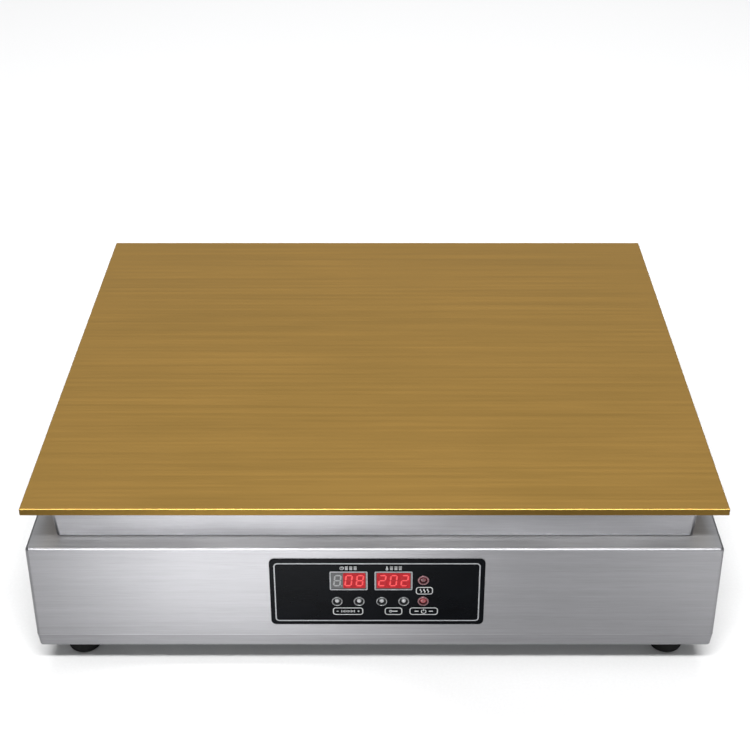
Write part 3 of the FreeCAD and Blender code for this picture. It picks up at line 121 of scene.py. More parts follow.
class Look:
    """A node material built up step by step around one Principled shader."""

    def __init__(self, name, colour, roughness, metallic=0.0):
        self.material = bpy.data.materials.new(name)
        self.material.use_nodes = True
        self.tree = self.material.node_tree
        self.surface = self.tree.nodes["Principled BSDF"]
        self.place = self.add("ShaderNodeTexCoord").outputs["Object"]
        self.set("Base Color", (*colour, 1.0))
        self.set("Roughness", roughness)
        self.set("Metallic", metallic)

    def add(self, kind, **values):
        """New node; values are for its input sockets or for its settings."""
        node = self.tree.nodes.new(kind)
        for name, value in values.items():
            if hasattr(node, name):
                setattr(node, name, value)
            else:
                node.inputs[name.replace("_", " ")].default_value = value
        return node

    def link(self, source, target):
        self.tree.links.new(source, target)

    def set(self, socket, value):
        """A constant, or another node's output, for one of the shader's sockets."""
        if isinstance(value, bpy.types.NodeSocket):
            self.link(value, self.surface.inputs[socket])
        else:
            self.surface.inputs[socket].default_value = value

    def stretched(self, sizes):
        """Place on the object divided by the pattern's size in mm along X, Y and Z."""
        mapping = self.add("ShaderNodeMapping")
        mapping.inputs["Scale"].default_value = [1.0 / (size * MM) for size in sizes]
        self.link(self.place, mapping.inputs["Vector"])
        return mapping.outputs["Vector"]

    def noise(self, sizes, detail=2.0, roughness=0.5, distortion=0.0):
        """Cloudy value between 0 and 1 whose features are about these sizes in mm."""
        node = self.add("ShaderNodeTexNoise", Scale=1.0, Detail=detail, Roughness=roughness,
                        Distortion=distortion)
        self.link(self.stretched(sizes), node.inputs["Vector"])
        return node.outputs[0]

    def cells(self, sizes, output="Distance"):
        """Voronoi cells about these sizes in mm."""
        node = self.add("ShaderNodeTexVoronoi", Scale=1.0)
        self.link(self.stretched(sizes), node.inputs["Vector"])
        return node.outputs[output]

    def spread(self, value, low, high, dark=0.3, light=0.7):
        """Turns a pattern's values between dark and light into numbers between low and high."""
        node = self.add("ShaderNodeMapRange")
        for name, number in (("From Min", dark), ("From Max", light), ("To Min", low), ("To Max", high)):
            node.inputs[name].default_value = number
        self.link(value, node.inputs["Value"])
        return node.outputs["Result"]

    def blend(self, factor, first, second):
        """Colour between first and second, each a colour or a socket."""
        node = self.add("ShaderNodeMix", data_type="RGBA")
        self.link(factor, node.inputs[0])
        for colour, socket in ((first, node.inputs[6]), (second, node.inputs[7])):
            if isinstance(colour, bpy.types.NodeSocket):
                self.link(colour, socket)
            else:
                socket.default_value = (*colour, 1.0)
        return node.outputs[2]

    def maths(self, operation, first, second):
        node = self.add("ShaderNodeMath", operation=operation)
        for value, socket in ((first, node.inputs[0]), (second, node.inputs[1])):
            if isinstance(value, bpy.types.NodeSocket):
                self.link(value, socket)
            else:
                socket.default_value = value
        return node.outputs[0]

    def bump(self, height, depth, strength=1.0):
        """Relief from a pattern, depth mm deep."""
        node = self.add("ShaderNodeBump", Strength=strength, Distance=depth * MM)
        self.link(height, node.inputs["Height"])
        self.set("Normal", node.outputs["Normal"])

    def facing(self, axis, sign=None, start=0.6, full=0.7):
        """1 where the surface faces along one axis, towards sign or both ways, and 0 where it faces away."""
        split = self.add("ShaderNodeSeparateXYZ")
        self.link(self.add("ShaderNodeNewGeometry").outputs["True Normal"], split.inputs[0])
        if sign is None:
            along = self.maths("ABSOLUTE", split.outputs[axis], 0.0)
        else:
            along = self.maths("MULTIPLY", split.outputs[axis], sign)
        return self.spread(along, 0.0, 1.0, dark=start, light=full)

    def brushed(self, strength, end_wall):
        """Stretches reflections across the brushing, which runs along X, and along Y where end_wall is 1."""
        direction = self.add("ShaderNodeCombineXYZ")
        self.link(self.maths("SUBTRACT", 1.0, end_wall), direction.inputs["X"])
        self.link(end_wall, direction.inputs["Y"])
        self.set("Tangent", direction.outputs["Vector"])
        self.set("Anisotropic", strength)
        self.set("Anisotropic Rotation", QUARTER_TURN)

    def chosen(self, switch, low, high):
        """low where switch is 0, high where it is 1."""
        node = self.add("ShaderNodeMix", data_type="FLOAT")
        self.link(switch, node.inputs[0])
        self.link(low, node.inputs[2])
        self.link(high, node.inputs[3])
        return node.outputs[0]

    def edge_wear_and_highlight(self, radius, low=0.0, high=1.0):
        """1 along sharp outer edges within radius mm, 0 on flat faces."""
        bevel = self.add("ShaderNodeBevel", samples=4)
        bevel.inputs["Radius"].default_value = radius * MM
        turn = self.add("ShaderNodeVectorMath", operation="DOT_PRODUCT")
        self.link(bevel.outputs["Normal"], turn.inputs[0])
        self.link(self.add("ShaderNodeNewGeometry").outputs["Normal"], turn.inputs[1])
        return self.spread(turn.outputs["Value"], high, low, dark=0.80, light=0.99)


# ---------------------------------------------------------------- materials

def brushed_steel():
    """Stainless sheet brushed lengthwise: along X, and along Y on the end walls; the walls carry painted shade and
    the faces that look up carry painted light.
    """
    look = Look("brushed stainless", (0.52, 0.52, 0.53), 0.36, metallic=1.0)
    end_wall = look.facing("X")

    def grain(length, width, detail):
        along_x = look.noise((length, width, width), detail, 0.6)
        along_y = look.noise((width, length, width), detail, 0.6)
        return look.chosen(end_wall, along_x, along_y)

    fine = grain(22.0, 0.22, 2.0)
    broad = grain(160.0, 2.4, 3.0)
    handling = look.noise((70.0, 70.0, 40.0), 3.0, 0.55)
    tone = look.maths("ADD", look.maths("MULTIPLY", fine, 0.6), look.maths("MULTIPLY", broad, 0.4))
    shade = look.spread(tone, 0.0, 1.0)
    # Painted light and shade: the same sheet gets a darker colour on its walls and a lighter one where it faces
    # up.
    walls = look.blend(shade, (0.190, 0.190, 0.198), (0.245, 0.245, 0.255))
    painted_light_tops = look.blend(shade, (0.37, 0.37, 0.378), (0.44, 0.44, 0.45))
    look.set("Base Color", look.blend(look.facing("Z", 1.0, 0.95, 0.995), walls, painted_light_tops))
    streaked = look.spread(tone, 0.30, 0.40)
    look.set("Roughness", look.maths("ADD", streaked, look.spread(handling, -0.025, 0.030)))
    look.brushed(0.85, end_wall)
    look.bump(fine, 0.010)
    return look


def brass_plate():
    """Satin brass alloy plate, faintly brushed along X and mellowed by heat; its side faces carry painted shade,
    its edges a painted highlight, and its underside is painted a light grey as painted light for the ledge below
    to reflect.
    """
    look = Look("satin brass", (0.70, 0.41, 0.10), 0.40, metallic=1.0)
    grain = look.noise((30.0, 0.30, 0.30), 2.0, 0.6)
    streak = look.noise((220.0, 3.5, 3.5), 3.0, 0.55)
    bloom = look.noise((120.0, 95.0, 95.0), 3.0, 0.55, 0.4)
    tone = look.maths("ADD", look.maths("MULTIPLY", grain, 0.4), look.maths("MULTIPLY", streak, 0.6))
    face = look.blend(look.spread(tone, 0.0, 1.0), (0.59, 0.350, 0.080), (0.67, 0.400, 0.100))
    mellow = look.blend(look.spread(bloom, 0.0, 0.5), face, (0.53, 0.318, 0.086))
    # Painted shade: faces that look sideways get a far darker brass than the top.
    painted_shade_sides = look.blend(look.facing("Z"), (0.098, 0.059, 0.013), mellow)
    # Painted highlight: a paler brass along the plate's outer edges.
    painted_edge_highlight = look.blend(look.edge_wear_and_highlight(1.0, 0.0, 0.75), painted_shade_sides, (0.50, 0.345, 0.165))
    # Painted light: faces that look down get a light grey in place of brass, for the ledge below to reflect.
    look.set("Base Color", look.blend(look.facing("Z", -1.0), painted_edge_highlight, (0.52, 0.48, 0.43)))
    look.set("Roughness", look.maths("ADD", look.spread(tone, 0.36, 0.46), look.spread(bloom, -0.03, 0.03)))
    look.brushed(0.45, look.facing("X"))
    look.bump(grain, 0.010)
    return look


def galvanised_sheet():
    """Zinc-coated sheet with its large crystals."""
    look = Look("galvanised sheet", (0.50, 0.52, 0.53), 0.45, metallic=1.0)
    spangle = look.cells((9.0, 9.0, 9.0), "Color")
    split = look.add("ShaderNodeSeparateColor")
    look.link(spangle, split.inputs[0])
    crystal = split.outputs[0]
    dust = look.noise((3.0, 3.0, 3.0), 3.0, 0.6)
    look.set("Base Color", look.blend(crystal, (0.42, 0.44, 0.46), (0.58, 0.60, 0.61)))
    look.set("Roughness", look.maths("ADD", look.spread(crystal, 0.36, 0.52, 0.0, 1.0),
                                     look.spread(dust, -0.03, 0.05)))
    look.bump(dust, 0.01)
    return look


def plated_steel():
    """Bright zinc on screws, nuts, studs and small pressings."""
    look = Look("zinc-plated steel", (0.62, 0.62, 0.60), 0.32, metallic=1.0)
    mottle = look.noise((1.6, 1.6, 1.6), 3.0, 0.6)
    turning = look.noise((12.0, 12.0, 0.12), 1.0)
    look.set("Base Color", look.blend(look.spread(mottle, 0.0, 1.0), (0.52, 0.52, 0.49), (0.70, 0.70, 0.69)))
    look.set("Roughness", look.spread(mottle, 0.24, 0.42))
    look.bump(turning, 0.01)
    return look


def element_sheath():
    """Heating tube with its dark, heat-tinted oxide."""
    look = Look("oxidised heating tube", (0.14, 0.13, 0.12), 0.5, metallic=0.8)
    tint = look.noise((35.0, 35.0, 35.0), 3.0, 0.6)
    scale = look.noise((0.8, 0.8, 0.8), 3.0, 0.6)
    look.set("Base Color", look.blend(look.spread(tint, 0.0, 1.0), (0.10, 0.095, 0.09), (0.22, 0.17, 0.13)))
    look.set("Roughness", look.spread(scale, 0.42, 0.62))
    look.bump(scale, 0.03)
    return look


def ceramic_fibre():
    """Felted white insulation."""
    look = Look("ceramic fibre blanket", (0.82, 0.80, 0.75), 0.95)
    fibres = look.noise((4.0, 0.35, 0.35), 4.0, 0.65, 1.5)
    lumps = look.noise((14.0, 14.0, 14.0), 3.0, 0.6)
    look.set("Base Color", look.blend(look.spread(lumps, 0.0, 1.0), (0.74, 0.72, 0.66), (0.88, 0.87, 0.84)))
    look.set("Roughness", look.spread(fibres, 0.86, 1.0))
    look.bump(look.maths("ADD", fibres, lumps), 0.5)
    return look


def moulded(name, dark, light, low, high, grain_size, grain_depth):
    """Moulded plastic or rubber with a fine spark-eroded grain and slight flow marks."""
    look = Look(name, dark, low)
    grain = look.noise((grain_size,) * 3, 3.0, 0.6)
    flow = look.noise((25.0, 25.0, 25.0), 2.0, 0.5)
    look.set("Base Color", look.blend(look.spread(flow, 0.0, 1.0), dark, light))
    look.set("Roughness", look.maths("ADD", look.spread(grain, low, high), look.spread(flow, -0.02, 0.03)))
    look.bump(grain, grain_depth)
    return look


def black_rubber():
    """Foot rubber: matt, a little dusty along its rubbed edges."""
    look = moulded("black rubber", (0.004, 0.004, 0.004), (0.008, 0.008, 0.008), 0.62, 0.80, 0.35, 0.04)
    dusty = look.blend(look.edge_wear_and_highlight(0.8, 0.0, 0.4), (0.005, 0.005, 0.005), (0.030, 0.030, 0.028))
    look.set("Base Color", dusty)
    look.set("Specular IOR Level", 0.12)
    return look


def panel_film():
    """Back-printed black polyester film: glossy, with a very shallow orange peel."""
    look = Look("black panel film", (0.007, 0.008, 0.011), 0.16)
    peel = look.noise((1.4, 1.4, 1.4), 2.0, 0.5)
    smear = look.noise((26.0, 26.0, 14.0), 3.0, 0.6, 0.6)
    look.set("Base Color", look.blend(look.spread(smear, 0.0, 1.0), (0.0006, 0.0009, 0.0014),
                                      (0.0014, 0.0019, 0.0028)))
    look.set("Roughness", look.spread(smear, 0.12, 0.24))
    look.set("Specular IOR Level", 0.035)
    look.bump(peel, 0.004)
    return look


def display_face():
    """Grey epoxy face of a display module, behind smoked plastic."""
    look = moulded("display face", (0.028, 0.029, 0.030), (0.042, 0.043, 0.045), 0.30, 0.40, 0.5, 0.01)
    look.set("Specular IOR Level", 0.3)
    return look


def glowing_face():
    """Display face flooded by its lit digits."""
    look = Look("display glow", (0.20, 0.008, 0.012), 0.35)
    bleed = look.noise((2.6, 2.6, 2.6), 2.0, 0.5)
    look.set("Base Color", look.blend(look.spread(bleed, 0.0, 1.0), (0.10, 0.004, 0.006),
                                      (0.16, 0.007, 0.010)))
    look.set("Emission Color", look.blend(look.spread(bleed, 0.0, 1.0), (0.38, 0.004, 0.008),
                                          (0.52, 0.008, 0.013)))
    look.set("Emission Strength", 0.44)
    look.set("Specular IOR Level", 0.08)
    return look


def lit_segment():
    """Red light-emitting bar, paler at its core."""
    look = Look("lit segment", (0.60, 0.08, 0.08), 0.4)
    core = look.noise((1.2, 1.2, 1.2), 2.0, 0.5)
    look.set("Emission Color", look.blend(look.spread(core, 0.0, 1.0), (0.78, 0.075, 0.080),
                                          (0.92, 0.11, 0.12)))
    look.set("Emission Strength", 0.85)
    look.set("Specular IOR Level", 0.08)
    look.set("Base Color", look.blend(look.spread(core, 0.0, 1.0), (0.10, 0.008, 0.010), (0.14, 0.02, 0.02)))
    look.bump(core, 0.01)
    return look


def dark_segment():
    """The same bar unlit: milky grey epoxy."""
    look = Look("unlit segment", (0.17, 0.175, 0.175), 0.4)
    milk = look.noise((0.9, 0.9, 0.9), 2.0, 0.5)
    look.set("Base Color", look.blend(look.spread(milk, 0.0, 1.0), (0.10, 0.105, 0.105),
                                      (0.15, 0.155, 0.155)))
    look.set("Roughness", look.spread(milk, 0.34, 0.48))
    look.bump(milk, 0.01)
    return look


def flooded_segment():
    """The same bar unlit, reddened by its lit neighbours."""
    look = Look("flooded segment", (0.10, 0.006, 0.008), 0.4)
    milk = look.noise((0.9, 0.9, 0.9), 2.0, 0.5)
    look.set("Base Color", look.blend(look.spread(milk, 0.0, 1.0), (0.07, 0.004, 0.006),
                                      (0.11, 0.008, 0.010)))
    look.set("Emission Color", look.blend(look.spread(milk, 0.0, 1.0), (0.24, 0.006, 0.010),
                                          (0.32, 0.010, 0.014)))
    look.set("Emission Strength", 0.9)
    look.set("Specular IOR Level", 0.08)
    look.bump(milk, 0.01)
    return look


def silver_ink(name, dark, light):
    """Screen-printed ink with the mesh's faint texture."""
    look = Look(name, light, 0.45)
    mesh = look.noise((0.18, 0.18, 0.18), 2.0, 0.6)
    wear = look.noise((5.0, 5.0, 5.0), 3.0, 0.6)
    look.set("Base Color", look.blend(look.spread(wear, 0.0, 1.0), dark, light))
    look.set("Roughness", look.spread(mesh, 0.38, 0.55))
    look.bump(mesh, 0.006)
    return look


def bezel_ring():
    """Satin metal-look collar round a button."""
    look = Look("satin collar", (0.030, 0.032, 0.034), 0.35)
    turned = look.noise((0.5, 0.25, 0.5), 2.0, 0.6)
    look.set("Base Color", look.blend(look.spread(turned, 0.0, 1.0), (0.016, 0.017, 0.018),
                                      (0.030, 0.031, 0.033)))
    look.set("Specular IOR Level", 0.15)
    look.set("Roughness", look.spread(turned, 0.26, 0.42))
    look.bump(turned, 0.008)
    return look


def bright_rim():
    """Turned metal edge on a button's collar."""
    look = Look("turned metal edge", (0.30, 0.30, 0.31), 0.30, metallic=1.0)
    turned = look.noise((0.4, 0.4, 0.4), 2.0, 0.6)
    look.set("Base Color", look.blend(look.spread(turned, 0.0, 1.0), (0.20, 0.205, 0.21),
                                      (0.32, 0.325, 0.33)))
    look.set("Roughness", look.spread(turned, 0.24, 0.38))
    look.bump(turned, 0.006)
    return look


def lamp_collar():
    """Bright collar round a lamp, pinkish from its light."""
    look = Look("bright lamp collar", (0.62, 0.40, 0.42), 0.28, metallic=0.9)
    turned = look.noise((0.6, 0.3, 0.6), 2.0, 0.6)
    look.set("Base Color", look.blend(look.spread(turned, 0.0, 1.0), (0.13, 0.065, 0.073),
                                      (0.20, 0.11, 0.12)))
    look.set("Roughness", look.spread(turned, 0.22, 0.36))
    look.bump(turned, 0.008)
    return look


def lamp(name, dark, light, glow):
    """Moulded red lens over a small lamp."""
    look = Look(name, light, 0.15)
    facets = look.cells((0.9, 0.9, 0.9))
    look.set("Base Color", look.blend(look.spread(facets, 0.0, 1.0, 0.0, 0.8), light, dark))
    look.set("Roughness", look.spread(facets, 0.10, 0.26, 0.0, 0.8))
    look.set("Emission Color", look.blend(look.spread(facets, 0.0, 1.0, 0.0, 0.8), (0.9, 0.05, 0.07),
                                          (0.35, 0.01, 0.02)))
    look.set("Emission Strength", glow)
    look.set("Coat Weight", 0.3)
    look.set("Coat Roughness", 0.05)
    look.bump(facets, 0.05)
    return look


def white_button():
    """Glossy white plunger."""
    look = Look("white plunger", (0.80, 0.81, 0.80), 0.18)
    cloud = look.noise((1.5, 1.5, 1.5), 2.0, 0.5)
    look.set("Base Color", look.blend(look.spread(cloud, 0.0, 1.0), (0.17, 0.175, 0.18),
                                      (0.23, 0.235, 0.24)))
    look.set("Roughness", look.spread(cloud, 0.14, 0.26))
    look.set("Coat Weight", 0.25)
    look.set("Coat Roughness", 0.08)
    look.bump(cloud, 0.006)
    return look


def circuit_board():
    """Green solder mask over copper tracks."""
    look = Look("green circuit board", (0.02, 0.14, 0.06), 0.35)
    tracks = look.add("ShaderNodeTexBrick", Scale=1.0)
    tracks.inputs["Color1"].default_value = (0.015, 0.120, 0.050, 1.0)
    tracks.inputs["Color2"].default_value = (0.022, 0.160, 0.070, 1.0)
    tracks.inputs["Mortar"].default_value = (0.050, 0.220, 0.100, 1.0)
    tracks.inputs["Mortar Size"].default_value = 0.03
    look.link(look.stretched((6.0, 6.0, 6.0)), tracks.inputs["Vector"])
    mask = look.noise((0.8, 0.8, 0.8), 2.0, 0.5)
    look.set("Base Color", tracks.outputs["Color"])
    look.set("Roughness", look.spread(mask, 0.26, 0.42))
    look.bump(mask, 0.02)
    return look


def laminated_core():
    """Transformer with its stack of dark laminations."""
    look = Look("laminated core", (0.10, 0.09, 0.09), 0.5, metallic=0.7)
    plates = look.noise((60.0, 0.5, 60.0), 1.0)
    look.set("Base Color", look.blend(look.spread(plates, 0.0, 1.0), (0.05, 0.045, 0.045),
                                      (0.18, 0.17, 0.16)))
    look.set("Roughness", look.spread(plates, 0.38, 0.62))
    look.bump(plates, 0.05)
    return look


def slot_looks():
    """One material for each material slot of the record."""
    return {
        "brass_plate": brass_plate(),
        "stainless_sheet": brushed_steel(),
        "galvanised_sheet": galvanised_sheet(),
        "plated_steel": plated_steel(),
        "element_sheath": element_sheath(),
        "ceramic_fibre": ceramic_fibre(),
        "black_rubber": black_rubber(),
        "panel_black": panel_film(),
        "display_module": display_face(),
        "button_white": white_button(),
        "bezel_grey": bezel_ring(),
        "lamp_red": lamp("unlit lamp lens", (0.022, 0.002, 0.005), (0.09, 0.006, 0.013), 0.02),
        "switch_black": moulded("black switch plastic", (0.014, 0.014, 0.015), (0.021, 0.021, 0.022),
                                0.38, 0.52, 0.25, 0.02),
        "circuit_board": circuit_board(),
        "white_nylon": moulded("white nylon", (0.70, 0.69, 0.64), (0.80, 0.79, 0.75), 0.42, 0.56, 0.4, 0.02),
        "relay_case": moulded("blue relay case", (0.02, 0.06, 0.24), (0.03, 0.08, 0.30),
                              0.25, 0.38, 0.3, 0.01),
        "transformer_core": laminated_core(),
        "lead_insulation": moulded("red silicone lead", (0.30, 0.03, 0.02), (0.38, 0.05, 0.035),
                                   0.48, 0.62, 0.5, 0.02),
        "ribbon_grey": moulded("grey ribbon cable", (0.34, 0.35, 0.36), (0.42, 0.43, 0.44),
                               0.45, 0.58, 0.6, 0.02),
    }


def finish_cad_nodes(looks):
    """Gives every CAD node the finish of its material slot; the lit lamp and both collars get their own."""
    for subpart in frame["record"]["subparts"]:
        node = frame["nodes"][subpart["node"]]
        for place in node.material_slots:
            place.material = looks[subpart["material_slot"]].material
    lit = lamp("lit lamp lens", (0.07, 0.008, 0.011), (0.16, 0.022, 0.028), 0.12)
    frame["nodes"]["indicator_lamp_power"].material_slots[0].material = lit.material
    collar = lamp_collar()
    for name in ("lamp_bezel_heating", "lamp_bezel_power"):
        frame["nodes"][name].material_slots[0].material = collar.material


# ---------------------------------------------------------------- mesh building

def new_piece(name, mesh, look, body):
    """Puts a finished bmesh in the scene, on one CAD body."""
    bmesh.ops.recalc_face_normals(mesh, faces=mesh.faces)
    data = bpy.data.meshes.new(name)
    mesh.to_mesh(data)
    mesh.free()
    data.materials.append(look.material)
    piece = bpy.data.objects.new(name, data)
    bpy.context.scene.collection.objects.link(piece)
    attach(piece, body)
    return piece


def add_line(mesh, path, width, closed=False, height=INK_HEIGHT):
    """Raised line of ink along a path of (x, z) points, flat on top with sloping edges, at y = 0."""
    points = [Vector(p) for p in path]
    count = len(points)
    rings = []
    for i, here in enumerate(points):
        before = points[i - 1] if closed or i > 0 else None
        after = points[(i + 1) % count] if closed or i < count - 1 else None
        way_in = (here - before).normalized() if before else (after - here).normalized()
        way_out = (after - here).normalized() if after else way_in
        mean = (way_in + way_out).normalized()
        across = Vector((-mean.y, mean.x)) / max(mean.dot(way_in), 0.4)
        edge = min(INK_EDGE, width / 4)
        ring = []
        for offset, rise in ((-width / 2, 0.0), (-width / 2 + edge, height),
                             (width / 2 - edge, height), (width / 2, 0.0)):
            at = here + across * offset
            ring.append(mesh.verts.new((at.x, -rise, at.y)))
        rings.append(ring)
    steps = count if closed else count - 1
    for i in range(steps):
        ring, following = rings[i], rings[(i + 1) % count]
        for j in range(4):
            k = (j + 1) % 4
            mesh.faces.new((ring[j], ring[k], following[k], following[j]))
    if not closed:
        mesh.faces.new(rings[0])
        mesh.faces.new(list(reversed(rings[-1])))


def arc(centre, radius, start, end, steps=16):
    """Points on a circle, from one angle in degrees to another, counted from +X towards +Z."""
    angles = [math.radians(start + (end - start) * i / steps) for i in range(steps + 1)]
    return [(centre[0] + radius * math.cos(a), centre[1] + radius * math.sin(a)) for a in angles]


def rounded_outline(centre, width, height, radius, steps=6):
    """Points around a rectangle with rounded corners."""
    points = []
    for sign_x, sign_z, start in ((1, 1, 0), (-1, 1, 90), (-1, -1, 180), (1, -1, 270)):
        corner = (centre[0] + sign_x * (width / 2 - radius), centre[1] + sign_z * (height / 2 - radius))
        points += arc(corner, radius, start, start + 90, steps)
    return points


def add_bar(mesh, outline, y_back, y_front, bevel):
    """Solid with this (x, z) outline between two planes, its front edge chamfered."""
    middle = Vector((sum(p[0] for p in outline), sum(p[1] for p in outline))) / len(outline)
    rings = []
    for y, inset in ((y_back, 0.0), (y_front + bevel, 0.0), (y_front, bevel)):
        ring = []
        for p in outline:
            at = Vector(p)
            at += (middle - at).normalized() * inset
            ring.append(mesh.verts.new((at.x, y, at.y)))
        rings.append(ring)
    for ring, following in zip(rings, rings[1:]):
        for i in range(len(ring)):
            k = (i + 1) % len(ring)
            mesh.faces.new((ring[i], ring[k], following[k], following[i]))
    mesh.faces.new(rings[0])
    mesh.faces.new(rings[-1])


# ---------------------------------------------------------------- print on the control panel

def centre_of(node):
    low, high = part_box(node)
    return (low + high) / 2


panel_low, panel_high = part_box("control_panel_overlay")
PANEL_FACE = panel_low.y
PANEL_X = (panel_low.x + panel_high.x) / 2
PANEL_Z = (panel_low.z + panel_high.z) / 2
DISPLAYS = {name: centre_of("display_" + name) for name in ("time", "temperature")}
LAMPS = {name: centre_of("indicator_lamp_" + name) for name in ("heating", "power")}
WINDOW_MARGIN = 0.2 * MM        # the film's window is this much larger than the display each side


def printed(name, draw, ink):
    """Ink piece on the panel's face; draw adds its lines in (x, z)."""
    mesh = bmesh.new()
    draw(mesh)
    bmesh.ops.translate(mesh, verts=mesh.verts, vec=(0.0, PANEL_FACE, 0.0))
    return new_piece(name, mesh, ink, "griddle")


def print_border(ink):
    width, height, corner, line = BORDER
    centre = (PANEL_X + BORDER_SHIFT[0], PANEL_Z + BORDER_SHIFT[1])
    outline = rounded_outline(centre, width - line, height - line, corner)
    printed("print_border", lambda mesh: add_line(mesh, outline, line, closed=True), ink)


def print_window_frames(ink):
    line, corner = WINDOW_FRAME
    for name in DISPLAYS:
        low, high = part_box("display_" + name)
        centre = ((low.x + high.x) / 2, (low.z + high.z) / 2)
        width = high.x - low.x + 2 * WINDOW_MARGIN + line
        height = high.z - low.z + 2 * WINDOW_MARGIN + line
        outline = rounded_outline(centre, width, height, corner)
        printed("print_window_frame_" + name, lambda mesh: add_line(mesh, outline, line, closed=True), ink)


def label(name, centre, marks, ink):
    """Rounded box with generic marks inside; marks adds them around the box's centre."""
    def draw(mesh):
        outline = rounded_outline(centre, LABEL_WIDTH[name] - LABEL_LINE, LABEL_HEIGHT - LABEL_LINE,
                                  LABEL_CORNER)
        add_line(mesh, outline, LABEL_LINE, closed=True)
        marks(mesh, centre)
    printed("print_label_" + name, draw, ink)


def upright_ticks(mesh, centre, count, pitch, heights, width):
    """Row of short upright bars like the marks of a scale."""
    for i in range(count):
        x = centre[0] + (i - (count - 1) / 2) * pitch
        half = heights[i % len(heights)] / 2
        add_line(mesh, [(x, centre[1] - half), (x, centre[1] + half)], width)


def time_marks(mesh, centre):
    """Scale of minutes between a minus and a plus."""
    x, z = centre
    aside = 6.9 * MM
    reach = 0.7 * MM
    gap = 0.2 * MM
    line = 0.45 * MM
    upright_ticks(mesh, centre, 9, 1.05 * MM, (1.9 * MM, 1.2 * MM), 0.5 * MM)
    for mark_x in (x - aside, x + aside):
        add_line(mesh, [(mark_x - reach, z), (mark_x + reach, z)], line)
    for near, far in ((-reach, -gap), (gap, reach)):
        add_line(mesh, [(x + aside, z + near), (x + aside, z + far)], line)


def temperature_marks(mesh, centre):
    """Thermometer lying on its side."""
    x, z = centre
    add_line(mesh, arc((x - 1.9 * MM, z), 0.75 * MM, 0, 360), 0.45 * MM)
    add_line(mesh, [(x - 1.1 * MM, z), (x + 2.6 * MM, z)], 0.8 * MM)


def heat_marks(mesh, centre):
    """Three rising waves."""
    x, z = centre
    height = 3.0 * MM
    swing = 0.45 * MM
    steps = 12
    for offset in (-2.3 * MM, 0.0, 2.3 * MM):
        wave = [(x + offset + swing * math.sin(i / steps * 2 * math.pi), z + (i / steps - 0.5) * height)
                for i in range(steps + 1)]
        add_line(mesh, wave, 0.6 * MM)


def power_marks(mesh, centre):
    """Open ring with a bar at its top, between two dashes."""
    x, z = centre
    add_line(mesh, arc((x, z - 0.3 * MM), 1.5 * MM, 125, 415, 20), 0.5 * MM)
    add_line(mesh, [(x, z + 0.2 * MM), (x, z + 1.9 * MM)], 0.5 * MM)
    for side in (-1, 1):
        add_line(mesh, [(x + side * 3.4 * MM, z), (x + side * 6.0 * MM, z)], 0.7 * MM)


def print_labels(ink):
    """The three labels under the buttons' row, and the one under the upper lamp."""
    below_buttons = LAMPS["power"].z - LABEL_DROP
    below_heating = LAMPS["heating"].z - HEATING_LABEL_DROP
    label("time", (TIME_LABEL_X, below_buttons), time_marks, ink)
    label("temperature", (TEMPERATURE_LABEL_X, below_buttons), temperature_marks, ink)
    label("power", (LAMPS["power"].x + POWER_LABEL_ASIDE, below_buttons), power_marks, ink)
    label("heating", (LAMPS["heating"].x + HEATING_LABEL_ASIDE, below_heating), heat_marks, ink)


def clock_mark(mesh, x, z):
    add_line(mesh, arc((x, z), 1.2 * MM, 0, 360), 0.35 * MM)
    add_line(mesh, [(x, z + 0.8 * MM), (x, z), (x + 0.6 * MM, z - 0.2 * MM)], 0.3 * MM)


def thermometer_mark(mesh, x, z):
    add_line(mesh, arc((x, z - 0.8 * MM), 0.6 * MM, 0, 360), 0.4 * MM)
    add_line(mesh, [(x, z - 0.2 * MM), (x, z + 1.5 * MM)], 0.6 * MM)


def print_captions(ink):
    """Above each display: its symbol, then three stacks of dashes."""
    symbols = {"time": clock_mark, "temperature": thermometer_mark}
    for name, place in DISPLAYS.items():
        z = place.z + CAPTION_RISE

        def draw(mesh):
            symbols[name](mesh, place.x - SYMBOL_ASIDE, z)
            for stack in range(3):
                x = place.x + stack * STACK_PITCH - FIRST_STACK_ASIDE
                for row in (-1, 0, 1):
                    dash_z = z + row * DASH_PITCH
                    add_line(mesh, [(x - DASH_REACH, dash_z), (x + DASH_REACH, dash_z)], DASH_LINE)
        printed("print_caption_" + name, draw, ink)


# ---------------------------------------------------------------- rims of the buttons' collars

def add_ring(mesh, centre, radius, thickness, steps=48, sides=10):
    """Round wire bent into a circle that faces along Y."""
    rings = []
    for i in range(steps):
        turn = 2 * math.pi * i / steps
        ring = []
        for j in range(sides):
            tilt = 2 * math.pi * j / sides
            reach = radius + thickness / 2 * math.cos(tilt)
            ring.append(mesh.verts.new((centre.x + reach * math.cos(turn),
                                        centre.y + thickness / 2 * math.sin(tilt),
                                        centre.z + reach * math.sin(turn))))
        rings.append(ring)
    for i in range(steps):
        ring, following = rings[i], rings[(i + 1) % steps]
        for j in range(sides):
            k = (j + 1) % sides
            mesh.faces.new((ring[j], ring[k], following[k], following[j]))


def collar_rims(look):
    """Bright rim on the front of each button's collar."""
    for name in BUTTONS:
        low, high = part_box("button_bezel_" + name)
        front = Vector(((low.x + high.x) / 2, low.y, (low.z + high.z) / 2))
        mesh = bmesh.new()
        add_ring(mesh, front, (high.x - low.x) / 2 - RIM_INSET, RIM_THICKNESS)
        for face in mesh.faces:
            face.smooth = True
        new_piece("collar_rim_" + name, mesh, look, "griddle")


# ---------------------------------------------------------------- bead over the bottom band

